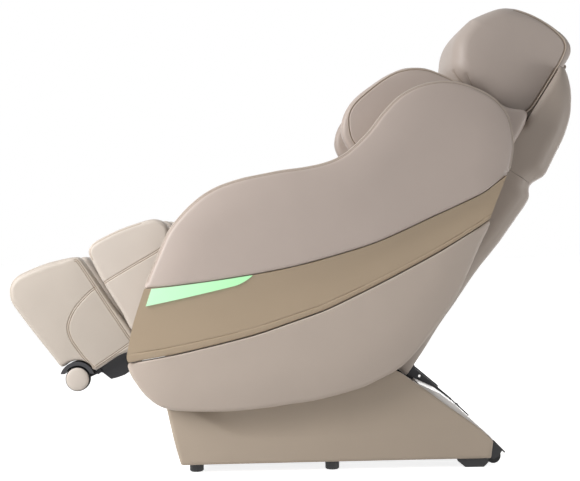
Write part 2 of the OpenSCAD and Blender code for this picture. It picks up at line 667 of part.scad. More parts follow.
module back_shell_upper() {
    g = shell_gap;
    color("#93867b") in_back()
        shell_piece(shell_upper_line, [[80, 460], [190 - g, 460], [190 - g, 483], [206 - g, 511],
            [206 - g, 540], [203 - g, 576], [199 - g, 612], [192 - g, 646], [182 - g, 676],
            [167 - g, 702], [150 - g, 726], [128 - g, 749], [107, 757], [107, 790], [80, 790]]);
    color("#93867b") in_back() both_sides() {
        box([arm_plate_x, arm_plate_x + plate_t], [136, 185], [640, 664]);
        for (x = [pillow_tab_x - 10, pillow_tab_x + 26]) {
            box([x, x + 8], [pillow_pivot[0] - 7, pillow_pivot[0] + 7], [756, pillow_pivot[1]]);
            rod(x, x + 8, pillow_pivot[0], pillow_pivot[1], 14);
        }
        rod(pillow_tab_x - 10, pillow_tab_x + 34, pillow_pivot[0], pillow_pivot[1], 6);
    }
}
module back_shell_lower() {
    g = shell_gap;
    notch = [stay_x - 6, arm_plate_x + 3];
    color("#8a7d72") in_back() difference() {
        shell_piece(shell_lower_line, [[80, -90], [110, -116], [182 - g, -124], [182 - g, 30],
            [188 - g, 170], [197 - g, 264], [203 - g, 341], [207 - g, 424], [190 - g, 450],
            [190 - g, 470], [80, 470]]);
        both_sides() box(notch, [80, 230], [-150, 40]);
    }
    color("#8a7d72") in_back() both_sides()
        box([arm_plate_x, arm_plate_x + plate_t], [136, 187], [200, 224]);
}
module back_pad() {
    color("#c6bbae") in_back() padded([[-94, 590], [-94, 44], [-100, 34], [-112, 30], [-124, 40],
        [-134, 80], [-140, 200], [-134, 320], [-128, 440], [-130, 540], [-126, 580], [-112, 594]],
        -seat_half + wing_w, seat_half - wing_w, 6, 6);
}
module back_side(side) {
    color("#c2b7aa") on_side(side) in_back()
        padded(side_profile, seat_half - wing_w, seat_half, 0, 16);
}
module head_pillow() {
    y = pillow_pivot[0];
    z = pillow_pivot[1];
    color("#a89b92") in_back() {
        padded(pillow_profile, -pillow_w / 2, pillow_w / 2, 40, 40);
        both_sides() difference() {
            union() {
                along_x(pillow_tab_x, pillow_tab_x + 24)
                    polygon([[y - 30, z - 5], [y, z - 5], [y, z + 5], [y - 30, z + 5]]);
                rod(pillow_tab_x, pillow_tab_x + 24, y, z, 16);
            }
            rod(pillow_tab_x - 1, pillow_tab_x + 25, y, z, 6 + 2 * run_fit);
        }
    }
}
module massage_chassis() {
    z = massage_z;
    r = massage_rail_x - 6 - rail_gap;
    color("#6d7176") in_back() {
        box([-96, 96], [64, 70], [z - 60, z + 60]);
        both_sides() difference() {
            union() {
                box([90, 96], [-16, 70], [z - 60, z + 60]);
                box([96, r], [24, 56], [z - 56, z - 20]);
                box([96, r], [24, 56], [z + 20, z + 56]);
            }
            rod(89, 97, 0, z, 14 + 2 * run_fit);
        }
        for (dz = [-34, 34])
            rod(-50, 50, 42, z + dz, 46);
    }
}
module massage_arms() {
    color("#2e3033") in_back() {
        rod(-99, 99, 0, massage_z, 14);
        both_sides() {
            rod(massage_arm_x - 20, massage_arm_x - 4 - massage_roller_w / 2 + 12, 0, massage_z, 36);
            for (s = [-1, 1]) {
                along_x(massage_arm_x - 27, massage_arm_x - 18) polygon([
                    [4, massage_z + s * 10], [-14, massage_z - s * 4],
                    [-massage_reach - 9, massage_z + s * (massage_spread - 4)],
                    [-massage_reach, massage_z + s * (massage_spread + 9)],
                    [-massage_reach + 9, massage_z + s * (massage_spread + 2)]]);
                rod(massage_arm_x - 27, massage_arm_x + 17, -massage_reach,
                    massage_z + s * massage_spread, 8);
            }
        }
    }
}
module massage_roller(side, end) {
    z = massage_z + end * massage_spread;
    x0 = massage_arm_x - massage_roller_w / 2;
    color("#4b3b33") on_side(side) in_back() difference() {
        union() {
            rod(x0 + 4, x0 + massage_roller_w - 4, -massage_reach, z, massage_roller_d);
            rod(x0, x0 + massage_roller_w, -massage_reach, z, massage_roller_d - 14);
        }
        rod(x0 - 1, x0 + massage_roller_w + 1, -massage_reach, z, 8 + 2 * run_fit);
    }
}

// ---- leg and foot rest ----
module leg_frame() {
    x = arm_plate_x;
    color("#3b3d40") {
        rod(-shaft_end, shaft_end, -knee_y, knee_z, knee_shaft_d);
        translate([lever_x, -knee_y, knee_z]) lever(leg_lever_r, -leg_mid);
        in_leg() {
            both_sides() {
                along_x(x, x + plate_t) polygon([[-90, -8], [-90, -38], [-40, -38], [0, -22],
                    [15, -15], [20, 0], [15, 15], [0, 22], [-15, 18], [-28, -8]]);
                difference() {
                    box([slide_x - 13, slide_x + 13], [-192, -40], [-43, -17]);
                    translate([slide_x, -30, -30]) rotate([90, 0, 0])
                        cylinder(h = 170, d = slide_rod_d + 2 * run_fit);
                }
            }
            box([-leg_half + 4, leg_half - 4], [-192, -36], [-17, -8]);
        }
    }
}
module calf_bed() {
    color("#bfb4a7") in_leg() both_sides() along_x(divider_w / 2, wall_in) polygon([[-36, -8],
        [-36, 60], [-56, 84], [-100, 92], [-150, 88], [-190, 96], [-190, -8]]);
}
module calf_wall(side) {
    color("#cbc1b5") on_side(side) in_leg() padded(calf_profile, wall_in, leg_half, 0, 12);
}
module calf_divider() {
    color("#c4b9ad") in_leg() padded([for (p = calf_profile) [p[0], min(p[1], 216 + p[0] * -0.03)]],
        -divider_w / 2, divider_w / 2, 0, 0);
}
module foot_frame() {
    y = [-345, -206];
    color("#26282a") in_leg() {
        box([-leg_half + 54, leg_half - 54], y, [-42, -30]);
        box([-leg_half + 54, leg_half - 54], [-213, -206], [-42, 30]);
        both_sides() {
            translate([slide_x, y[1] + foot_travel + 62, -30]) rotate([90, 0, 0])
                cylinder(h = foot_travel + 64, d = slide_rod_d);
            along_x(wall_in - 50, wall_in - 38) polygon([[-339, -42], [-329, -72], [-312, -78], [-293, -83],
                [-280, -83], [-261, -42]]);
            along_x(wall_in - 8, wall_in + 4) polygon([[-330, -42], [-330, -31], [-345, -31],
                [roller_at[0] + 6, roller_at[1] + 8], [roller_at[0] - 8, roller_at[1]],
                [roller_at[0], roller_at[1] - 10]]);
            rod(wall_in, leg_half - 2, roller_at[0], roller_at[1], 10);
            // fender over the roller, on a small web round its axle
            rod(wall_in, wall_in + 4, roller_at[0], roller_at[1], roller_d - 8);
            difference() {
                rod(wall_in, leg_half - 2, roller_at[0], roller_at[1], roller_d + 28);
                rod(wall_in + 4, leg_half + 1, roller_at[0], roller_at[1], roller_d + 8);
                translate([0, roller_at[0], roller_at[1]]) rotate([-leg_angle, 0, 0])
                    box([wall_in - 1, leg_half], [-60, 60], [-60, 14]);
            }
        }
    }
}
module foot_bed() {
    color("#b9aea2") in_leg() both_sides() {
        along_x(divider_w / 2, wall_in) polygon([[-400, 30], [-372, 24], [-372, 250], [-380, 262],
            [-396, 262], [-408, 240]]);
        along_x(divider_w / 2, wall_in) polygon([[-371, 20], [-371, -4], [-341, -30], [-218, -30],
            [-218, 18], [-240, 30], [-340, 30]]);
    }
}
module foot_wall(side) {
    color("#c9beb2") on_side(side) in_leg() padded(foot_profile, wall_in, leg_half, 0, 12);
}
module foot_divider() {
    color("#c2b7ab") in_leg() padded([for (p = foot_profile) [min(p[0], -218), min(p[1], 262)]],
        -divider_w / 2, divider_w / 2, 0, 0);
}
module foot_roller(side) {
    x = [leg_half - roller_w - 3, leg_half - 3];
    color("#c2b7aa") on_side(side) in_leg() difference() {
        union() {
            rod(x[0] + 2, x[1] - 2, roller_at[0], roller_at[1], roller_d);
            rod(x[0], x[1] + 4, roller_at[0], roller_at[1], roller_d - 12);
        }
        rod(x[0] - 1, x[1] + 6, roller_at[0], roller_at[1], 10 + 2 * run_fit);
    }
}

// ---- every sub-part under its own name ----
base_frame();
glide_rails();
base_cover(1);  // base_cover_left
base_cover(-1);  // base_cover_right
base_front_cover();
base_rear_cover();
base_feet();
wheel_forks();
control_box();
air_pump();
power_panel();
power_switch();
transport_wheel(1);  // transport_wheel_left
transport_wheel(-1);  // transport_wheel_right
glide_carriage();
seat_frame();
seat_cushion();
arm_core(1);  // arm_core_left
arm_core(-1);  // arm_core_right
arm_upper(1);  // arm_upper_left
arm_upper(-1);  // arm_upper_right
arm_band(1);  // arm_band_left
arm_band(-1);  // arm_band_right
arm_lower(1);  // arm_lower_left
arm_lower(-1);  // arm_lower_right
arm_light(1);  // arm_light_left
arm_light(-1);  // arm_light_right
arm_pad(1);  // arm_pad_left
arm_pad(-1);  // arm_pad_right
control_pad();
leg_actuator();
leg_actuator_rod();
back_actuator();
back_actuator_rod();
back_frame();
back_shell_upper();
back_shell_lower();
back_pad();
back_side(1);  // back_side_left
back_side(-1);  // back_side_right
head_pillow();
massage_chassis();
massage_arms();
massage_roller(1, 1);  // massage_roller_upper_left
massage_roller(-1, 1);  // massage_roller_upper_right
massage_roller(1, -1);  // massage_roller_lower_left
massage_roller(-1, -1);  // massage_roller_lower_right
leg_frame();
calf_bed();
calf_wall(1);  // calf_wall_left
calf_wall(-1);  // calf_wall_right
calf_divider();
foot_frame();
foot_bed();
foot_wall(1);  // foot_wall_left
foot_wall(-1);  // foot_wall_right
foot_divider();
foot_roller(1);  // foot_roller_left
foot_roller(-1);  // foot_roller_right
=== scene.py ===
# %% [markdown]
# # A reclining massage chair
# The steel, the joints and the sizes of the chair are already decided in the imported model, the
# frame. This lesson dresses that frame: soft leather pads, lacquered arm panels, moulded covers
# and the light that shows them. Every piece is modelled where the frame says it sits, so nothing
# is fitted afterwards.

# %% The frame
import json
import math
from contextlib import contextmanager
from itertools import product
import bpy
import bmesh
from mathutils import Matrix, Vector
from mathutils.bvhtree import BVHTree
from mathutils.kdtree import KDTree


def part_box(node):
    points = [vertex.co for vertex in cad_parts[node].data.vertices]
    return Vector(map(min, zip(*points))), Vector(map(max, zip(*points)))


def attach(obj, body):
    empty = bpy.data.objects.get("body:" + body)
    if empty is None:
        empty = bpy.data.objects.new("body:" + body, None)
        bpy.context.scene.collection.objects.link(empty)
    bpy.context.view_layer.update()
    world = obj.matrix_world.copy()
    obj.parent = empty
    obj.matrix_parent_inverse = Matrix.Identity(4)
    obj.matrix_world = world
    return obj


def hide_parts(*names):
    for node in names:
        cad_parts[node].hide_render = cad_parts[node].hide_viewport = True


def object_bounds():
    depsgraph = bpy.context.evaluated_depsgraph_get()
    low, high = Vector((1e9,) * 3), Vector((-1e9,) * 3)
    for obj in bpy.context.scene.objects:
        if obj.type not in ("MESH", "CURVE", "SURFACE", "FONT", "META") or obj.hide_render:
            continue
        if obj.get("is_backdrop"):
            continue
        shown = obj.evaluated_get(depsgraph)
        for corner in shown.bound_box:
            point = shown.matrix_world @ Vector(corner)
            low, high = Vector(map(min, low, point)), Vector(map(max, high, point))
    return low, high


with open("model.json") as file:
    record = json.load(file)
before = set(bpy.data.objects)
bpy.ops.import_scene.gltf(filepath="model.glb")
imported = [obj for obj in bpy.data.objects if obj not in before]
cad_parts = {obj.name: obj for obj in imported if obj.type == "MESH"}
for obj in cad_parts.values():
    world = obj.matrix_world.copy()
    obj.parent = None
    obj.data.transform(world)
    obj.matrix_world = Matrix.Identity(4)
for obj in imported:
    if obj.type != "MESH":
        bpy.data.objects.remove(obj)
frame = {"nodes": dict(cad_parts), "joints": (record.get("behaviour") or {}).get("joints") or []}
cad_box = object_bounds()

# %% [markdown]
# ## Places and lines
# The chair is drawn in its side view: a point is a distance behind the origin and a height, both
# in millimetres. The back and the leg rest lean, so each has its own little coordinate system that
# starts at its hinge. The hinge places and the lean come from the frame's joints.

# %% Places
MM = 0.001
joints = {j["name"]: j for j in frame["joints"]}


def side_place(joint):
    """A hinge's place in the side view, in millimetres."""
    return Vector(joints[joint]["pos_m"][1:]) / MM


HIP = side_place("back_recline")
KNEE = side_place("leg_raise")
back_axis = joints["massage_travel"]["axis"]
leg_axis = joints["foot_slide"]["axis"]
BACK_LEAN = math.atan2(back_axis[1], back_axis[2])
LEG_SLOPE = math.atan2(-leg_axis[2], -leg_axis[1])


def span_of(node):
    """Where a node begins and ends across the chair, in millimetres."""
    low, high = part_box(node)
    return low.x / MM, high.x / MM


def turned(origin, angle):
    """A function that turns local side-view points by an angle and sets them at a hinge."""
    turn = Matrix.Rotation(angle, 2)
    return lambda points: [origin + turn @ Vector(p) for p in points]


def turned_back(origin, angle):
    """The way back: a function that gives the local point of a side-view place."""
    turn = Matrix.Rotation(-angle, 2)
    return lambda y, z: turn @ (Vector((y, z)) - origin)


def limited(share):
    """A number kept between 0 and 1."""
    return max(0.0, min(1.0, share))


in_back, back_point = turned(HIP, -BACK_LEAN), turned_back(HIP, -BACK_LEAN)
in_leg, leg_point = turned(KNEE, LEG_SLOPE), turned_back(KNEE, LEG_SLOPE)
print("back leans", round(math.degrees(BACK_LEAN)), "degrees, leg rest slopes",
      round(math.degrees(LEG_SLOPE)))

# %% [markdown]
# ## Smooth lines
# A few given points are joined by a Catmull-Rom curve, which passes through each of them,
# and the curve is then cut into even steps. Panels, seams and piping all start from such lines.

# %% Lines


def through(a, b, c, d):
    """Sixteen points of the curve from b to c, whose neighbours are a and d."""
    return [0.5 * (2 * b + (c - a) * t + (2 * a - 5 * b + 4 * c - d) * t * t
                   + (3 * b - a - 3 * c + d) * t ** 3) for t in (k / 16 for k in range(16))]


def smooth_line(points, step=4.0):
    """A smooth line through side-view points, cut into even steps."""
    points = [Vector(p) for p in points]
    last = len(points) - 1
    dense = [q for i in range(last) for q in through(
        points[max(i - 1, 0)], points[i], points[i + 1], points[min(i + 2, last)])]
    dense.append(points[-1])
    return evenly(dense, max(2, round(length_of(dense) / step)))


def smooth_ring(points, step):
    """The same for a closed outline; the first point isn't repeated."""
    points = [Vector(p) for p in points]
    count = len(points)
    dense = [q for i in range(count) for q in through(
        points[i - 1], points[i], points[(i + 1) % count], points[(i + 2) % count])]
    dense.append(dense[0])
    return evenly(dense, round(length_of(dense) / step))[:-1]


def length_of(line):
    return sum((b - a).length for a, b in zip(line, line[1:]))


def evenly(line, count):
    """The same line with count equal steps."""
    total, out, at, i = length_of(line), [], 0.0, 0
    for k in range(count + 1):
        goal = total * k / count
        while i < len(line) - 2 and at + (line[i + 1] - line[i]).length < goal:
            at += (line[i + 1] - line[i]).length
            i += 1
        step = (line[i + 1] - line[i]).length
        out.append(line[i].lerp(line[i + 1], min(1.0, (goal - at) / step) if step else 0.0))
    return out


def shifted(line, by):
    """The line moved sideways: to its left as it runs, or to its right if by is negative."""
    out = []
    for i, p in enumerate(line):
        along = (line[min(i + 1, len(line) - 1)] - line[max(i - 1, 0)]).normalized()
        out.append(p + Vector((-along.y, along.x)) * by)
    return out


def tree_of(line):
    """A lookup of the nearest point of a line, which is cut finely first."""
    line = evenly(line, max(2, round(length_of(line))))
    tree = KDTree(len(line))
    for i, p in enumerate(line):
        tree.insert((p.x, p.y, 0), i)
    tree.balance()
    return tree


def distance_to(tree, p):
    return tree.find((p[0], p[1], 0))[2]


# %% [markdown]
# ## Working on one object
# Blender's operators act on whatever is selected. Two helpers keep that under control: one selects
# a single object, the other opens it in edit mode with nothing selected.

# %% Tools


def only(*objects):
    bpy.ops.object.select_all(action="DESELECT")
    for obj in objects:
        obj.select_set(True)
    bpy.context.view_layer.objects.active = objects[0]


@contextmanager
def editing(obj, mode="FACE"):
    """Edit mode on one object, with nothing selected."""
    only(obj)
    bpy.ops.object.mode_set(mode="EDIT")
    bpy.ops.mesh.select_mode(type=mode)
    bpy.ops.mesh.select_all(action="DESELECT")
    yield bmesh.from_edit_mesh(obj.data)
    bpy.ops.object.mode_set(mode="OBJECT")


def all_selected():
    bpy.ops.mesh.select_all(action="SELECT")


def extrude(by=(0, 0, 0)):
    bpy.ops.mesh.extrude_region_move(TRANSFORM_OT_translate={"value": by})


def face_outwards():
    all_selected()
    bpy.ops.mesh.normals_make_consistent(inside=False)


def made(name):
    """The object that an operator has just made, under its name."""
    obj = bpy.context.object
    obj.name = obj.data.name = name
    return obj


def disc(name, corners):
    """One flat face, whose corners are moved afterwards."""
    bpy.ops.mesh.primitive_circle_add(vertices=corners, radius=1, fill_type="NGON",
                                      location=(0, 0, 0))
    return made(name)


def modify(obj, kind, **settings):
    """Adds one modifier, sets it and applies it."""
    only(obj)
    bpy.ops.object.modifier_add(type=kind)
    modifier = obj.modifiers[-1]
    for key, value in settings.items():
        setattr(modifier, key, value)
    bpy.ops.object.modifier_apply(modifier=modifier.name)


def remesh(obj, cell):
    """Makes a piece's net even, with squares as wide as cell."""
    modify(obj, "REMESH", mode="VOXEL", voxel_size=cell * MM, use_smooth_shade=True)


def select_where(bm, test, kind="faces"):
    for item in getattr(bm, kind):
        item.select_set(test(item))
    bm.select_flush_mode()


def joined(name, *objects):
    """Joins objects into the first one."""
    only(*objects)
    bpy.ops.object.join()
    objects[0].name = name
    return objects[0]


def mirrored(obj, name):
    """A copy on the other side of the chair."""
    only(obj)
    bpy.ops.object.duplicate()
    copy = made(name)
    copy.data.transform(Matrix.Scale(-1, 4, (1, 0, 0)))
    with editing(copy):
        all_selected()
        bpy.ops.mesh.flip_normals()
    return copy


def both_sides(*pieces):
    """Each side's name with its pieces. The right ones are mirrored when their turn comes, so they
    begin with what was said of the left ones; made a list of, they are mirrored first."""
    yield "left", pieces
    yield "right", [mirrored(p, p.name.replace("_left", "_right")) for p in pieces]


def smooth(obj, degrees=40):
    only(obj)
    bpy.ops.object.shade_smooth_by_angle(angle=math.radians(degrees))


def place(obj, body, material, replaces=()):
    """Says what a finished piece rides on, is made of and stands for."""
    if not obj.data.materials:
        obj.data.materials.append(material)
    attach(obj, body)
    if replaces:
        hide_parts(*replaces)
    print(f"{obj.name}: {len(obj.data.polygons)} faces on {body}")
    return obj


def padded_pair(left, body, material):
    """Places a cover of the left side and its mirrored copy over the padding they stand for."""
    for _, (piece,) in list(both_sides(left)):
        place(piece, body, material, (piece.name.replace("_cover", ""),))


# %% [markdown]
# ## Finishes
# Each finish is one Principled BSDF. What varies over its surface comes from node groups that are
# built once: a fine pebbled grain for leather, a soft drift of tone that keeps large panels from
# looking computed, and a brushed texture for steel. All of them read Object coordinates, so the
# pattern stays on the piece when the chair moves.

# %% Node groups


def srgb(r, g, b):
    """A colour given as it is seen, 0 to 255, turned into the linear numbers shaders use."""
    def line(c):
        c /= 255
        return c / 12.92 if c <= 0.04045 else ((c + 0.055) / 1.055) ** 2.4
    return (line(r), line(g), line(b), 1)


def node_group(name, outputs, **amounts):
    """An empty shader group that reads a place and some amounts, with its first and last node."""
    group = bpy.data.node_groups.new(name, "ShaderNodeTree")
    group.interface.new_socket("Vector", in_out="INPUT", socket_type="NodeSocketVector")
    for label, value in amounts.items():
        socket = group.interface.new_socket(label, in_out="INPUT", socket_type="NodeSocketFloat")
        socket.default_value = value
    for label in outputs:
        group.interface.new_socket(label, in_out="OUTPUT", socket_type="NodeSocketFloat")
    return group, group.nodes.new("NodeGroupInput"), group.nodes.new("NodeGroupOutput")


def feed(node, values):
    """Sets the sockets of a node, and wires those whose value is another node's socket."""
    for key, value in values.items():
        if isinstance(value, bpy.types.NodeSocket):
            node.id_data.links.new(value, node.inputs[key])
        else:
            node.inputs[key].default_value = value
    return node


def add(tree, kind, values=None, **settings):
    """Adds a node, sets its properties and feeds its sockets."""
    node = tree.nodes.new(kind)
    for key, value in settings.items():
        setattr(node, key, value)
    return feed(node, values or {})


def spread(tree, pattern, low, high, start=0.3, end=0.7):
    """The part of a pattern between start and end, stretched to run from low to high."""
    return add(tree, "ShaderNodeMapRange",
               {0: pattern, 1: start, 2: end, 3: low, 4: high}).outputs[0]


def make_grain():
    """Pebbled leather grain: cells of uneven size with soft creases between them."""
    group, start, end = node_group("Leather grain", ["Height", "Pores"])
    warp = add(group, "ShaderNodeTexNoise", {"Vector": start.outputs[0], "Scale": 90.0})
    warped = add(group, "ShaderNodeVectorMath",
                 {0: warp.outputs["Color"], 1: (0.0012, 0.0012, 0.0012), 2: start.outputs[0]},
                 operation="MULTIPLY_ADD")
    cells = add(group, "ShaderNodeTexVoronoi", {"Vector": warped.outputs[0], "Scale": 700.0},
                feature="DISTANCE_TO_EDGE")
    rounded = add(group, "ShaderNodeMapRange", {0: cells.outputs["Distance"], 2: 0.35},
                  interpolation_type="SMOOTHSTEP")
    pores = add(group, "ShaderNodeTexNoise",
                {"Vector": start.outputs[0], "Scale": 2600.0, "Detail": 1.0})
    feed(end, {0: rounded.outputs[0], 1: pores.outputs[0]})
    return group


def make_drift():
    """A slow drift of tone over a large surface, between 1 - Amount and 1."""
    group, start, end = node_group("Tone drift", ["Tone"], Amount=0.05)
    noise = add(group, "ShaderNodeTexNoise",
                {"Vector": start.outputs[0], "Scale": 6.0, "Detail": 3.0})
    level = add(group, "ShaderNodeMath", {0: 1.0, 1: start.outputs[1]}, operation="SUBTRACT")
    feed(end, {0: spread(group, noise.outputs[0], level.outputs[0], 1.0)})
    return group


def make_brushed():
    """Fine scratches that run along one axis of the piece."""
    group, start, end = node_group("Brushed", ["Streaks"])
    stretched = add(group, "ShaderNodeMapping",
                    {"Vector": start.outputs[0], "Scale": (900.0, 30.0, 900.0)})
    noise = add(group, "ShaderNodeTexNoise",
                {"Vector": stretched.outputs[0], "Scale": 1.0, "Detail": 2.0})
    feed(end, {0: noise.outputs[0]})
    return group


GRAIN, DRIFT, BRUSHED = make_grain(), make_drift(), make_brushed()
print("node groups:", GRAIN.name, DRIFT.name, BRUSHED.name)

# %% Materials


def new_material(name, colour, roughness, metallic=0.0, drift=0.05):
    """A Principled material whose base colour drifts slightly; returns its tree and sockets."""
    material = bpy.data.materials.new(name)
    material.use_nodes = True
    material.diffuse_color = colour
    tree = material.node_tree
    shader = tree.nodes["Principled BSDF"]
    place_on = add(tree, "ShaderNodeTexCoord").outputs["Object"]
    tone = add(tree, "ShaderNodeGroup", {0: place_on, 1: drift}, node_tree=DRIFT)
    shade = add(tree, "ShaderNodeMix", {0: 1.0, 6: colour, 7: tone.outputs[0]}, data_type="RGBA",
                blend_type="MULTIPLY").outputs[2]
    feed(shader, {"Base Color": shade, "Roughness": roughness, "Metallic": metallic})
    return material, tree, shader, place_on, shade


def leather(name, colour, roughness=0.42):
    """Smooth upholstery leather; a piece's "crease" attribute darkens its seams and folds with
    painted shade.
    """
    material, tree, shader, place_on, shade = new_material(name, colour, roughness)
    pebble = add(tree, "ShaderNodeGroup", {0: place_on}, node_tree=GRAIN)
    crease = add(tree, "ShaderNodeAttribute", attribute_name="crease")
    # The colour of the painted shade in grooves: the leather darkened, more in blue than in red.
    groove_shade = tuple(c * share for c, share in zip(colour[:3], (0.52, 0.43, 0.33)))
    deep = add(tree, "ShaderNodeMix", {0: crease.outputs["Fac"], 6: shade, 7: groove_shade + (1,)},
               data_type="RGBA")
    bump = add(tree, "ShaderNodeBump",
               {"Height": pebble.outputs[0], "Strength": 0.5, "Distance": 0.00012})
    sheen = spread(tree, pebble.outputs[1], roughness - 0.05, roughness + 0.07, 0.2, 0.8)
    feed(shader, {"Base Color": deep.outputs[2], "Roughness": sheen, "Normal": bump.outputs[0],
                  "Sheen Weight": 0.08, "Sheen Roughness": 0.4})
    return material


def moulding(name, colour, roughness, grain=1500.0, depth=0.00005, coat=0.0):
    """Moulded or lacquered plastic with a fine even texture."""
    material, tree, shader, place_on, _ = new_material(name, colour, roughness, drift=0.03)
    speck = add(tree, "ShaderNodeTexNoise", {"Vector": place_on, "Scale": grain, "Detail": 2.0})
    bump = add(tree, "ShaderNodeBump",
               {"Height": speck.outputs[0], "Strength": 0.4, "Distance": depth})
    sheen = spread(tree, speck.outputs[0], roughness - 0.03, roughness + 0.04)
    feed(shader, {"Roughness": sheen, "Normal": bump.outputs[0], "Coat Weight": coat,
                  "Coat Roughness": 0.15})
    return material


def steel(name, colour, roughness, metallic=1.0):
    """Bright or painted steel with brushed streaks in its gloss."""
    material, tree, shader, place_on, _ = new_material(name, colour, roughness, metallic)
    streaks = add(tree, "ShaderNodeGroup", {0: place_on}, node_tree=BRUSHED).outputs[0]
    feed(shader, {"Roughness": spread(tree, streaks, roughness - 0.06, roughness + 0.08)})
    return material


def glowing(name, bright, deep, low_y, high_y):
    """A lit diffuser that is whiter at its front end, where the lamp sits."""
    unlit = tuple(0.2 * c for c in deep[:3]) + (1,)
    material, tree, shader, place_on, _ = new_material(name, unlit, 0.35)
    place_parts = add(tree, "ShaderNodeSeparateXYZ", {0: place_on})
    along = add(tree, "ShaderNodeMapRange", {0: place_parts.outputs[1], 1: low_y, 2: high_y})
    glow = add(tree, "ShaderNodeMix", {0: along.outputs[0], 6: bright, 7: deep}, data_type="RGBA")
    feed(shader, {"Emission Color": glow.outputs[2], "Emission Strength": 1.0})
    return material


LEATHER = leather("Light leather", srgb(205, 195, 185))
PANEL_LEATHER = leather("Arm panel leather", srgb(191, 177, 168))
LOWER_LEATHER = leather("Lower panel leather", srgb(193, 179, 167))
PILLOW_LEATHER = leather("Pillow leather", srgb(189, 176, 167))
FOOT_LEATHER = leather("Foot block leather", srgb(192, 182, 171))
# A darker copy of the light leather for the beds and the back pad, which lie sunk between walls:
# painted shade.
SHADED_LEATHER = leather("Beige leather", srgb(190, 177, 162))
PIPING = leather("Piping leather", srgb(196, 183, 168), roughness=0.5)
BAND_LACQUER = moulding("Champagne lacquer", srgb(172, 153, 129), 0.38, coat=0.1)
COVER_PLASTIC = moulding("Beige moulding", srgb(183, 168, 151), 0.5)
SHELL_PLASTIC = moulding("Taupe moulding", srgb(172, 159, 148), 0.5)
WHITE_PLASTIC = moulding("Off-white moulding", srgb(232, 230, 228), 0.4)
BLACK_PLASTIC = moulding("Black moulding", srgb(38, 38, 40), 0.5)
GREY_PLASTIC = moulding("Grey moulding", srgb(92, 94, 97), 0.5)
RUBBER = moulding("Black rubber", srgb(32, 32, 33), 0.75, grain=900.0, depth=0.0001)
BROWN_RUBBER = moulding("Brown rubber", srgb(88, 70, 60), 0.6)
DARK_STEEL = steel("Dark painted steel", srgb(52, 52, 55), 0.45, metallic=0.2)
BRIGHT_STEEL = steel("Drawn steel", srgb(188, 189, 192), 0.3)
GREEN_GLOW = glowing("Green diffuser", srgb(196, 238, 203), srgb(172, 234, 176), -0.38, -0.13)
print("materials:", len(bpy.data.materials))

# %% [markdown]
# ## How the pieces are shaped
# Three kinds of body cover the whole chair. A slab is a side outline with a thickness, as for a
# board. A panel is a moulded skin stretched between a lower and an upper line, and its depth may
# change from place to place. A soft block is a slab that is turned into an even net, rounded, and
# blown up with Cloth, because foam under leather has no flat faces and no sharp edges.

# %% Slabs


def side_of(point):
    """A point's place in the side view, in millimetres."""
    return (point[1] / MM, point[2] / MM)


def slab(name, outline, x_in, x_out):
    """A side outline carried from x_in to x_out."""
    obj = disc(name, len(outline))
    for vertex, p in zip(obj.data.vertices, outline):
        vertex.co = Vector((x_in, p[0], p[1])) * MM
    with editing(obj):
        all_selected()
        extrude(((x_out - x_in) * MM, 0, 0))
        face_outwards()
    return obj


def round_rim(obj, x, radius, segments):
    """Rounds the rim of a slab's face at x."""
    with editing(obj, "EDGE") as bm:
        select_where(bm, lambda e: all(abs(v.co.x / MM - x) < 0.1 for v in e.verts), "edges")
        bpy.ops.mesh.bevel(offset=radius * MM, segments=segments, affect="EDGES")


# %% Panels


def even_ends(width, rows):
    """Distances across a panel that crowd together towards both of its edges."""
    return [width * (k / rows - 0.85 * math.sin(2 * math.pi * k / rows) / (2 * math.pi))
            for k in range(rows + 1)]


def panel(name, low, high, x_in, skin, cols, rows, across=even_ends, front=None):
    """A skin between two lines. skin(y, z) gives its x, across where the rows lie, and front
    bends its first edge."""
    bpy.ops.mesh.primitive_grid_add(x_subdivisions=cols, y_subdivisions=rows, size=2,
                                    location=(0, 0, 0))
    obj = made(name)
    low, high = evenly(low, cols), evenly(high, cols)
    widths = [max((b - a).length, 0.01) for a, b in zip(low, high)]
    rows_at = [across(w, rows) if across is even_ends else across(w, rows, low[i])
               for i, w in enumerate(widths)]
    edge = evenly(front, rows) if front else None
    for vertex in obj.data.vertices:
        i = round((vertex.co.x + 1) / 2 * cols)
        j = round((vertex.co.y + 1) / 2 * rows)
        share = rows_at[i][j] / widths[i]
        p = low[i].lerp(high[i], share)
        if edge:
            straight = low[0].lerp(high[0], share)
            bent = edge[min(rows, round(share * rows))]
            p = p + (bent - straight) * (1 - i / cols) ** 12
        vertex.co = Vector((skin(p.x, p.y), p.x, p.y)) * MM
    with editing(obj) as bm:
        all_selected()
        extrude()
        for vertex in bm.verts:
            if vertex.select:
                vertex.co.x = x_in * MM
        face_outwards()
    return obj


def roundover(distance, depth, width):
    """How far a rounded edge falls away at a distance from it."""
    u = max(0.0, 1 - distance / width)
    return depth * (1 - math.sqrt(1 - u * u))


def fall(distance, depth, width):
    """A broader, softer falling away towards an edge."""
    return depth * max(0.0, 1 - distance / width) ** 2


# %% Soft blocks
PRESSURE, PUFF_FRAMES = 4.0, 20
SINK = 2.0  # an untied block is sunk this much before it swells


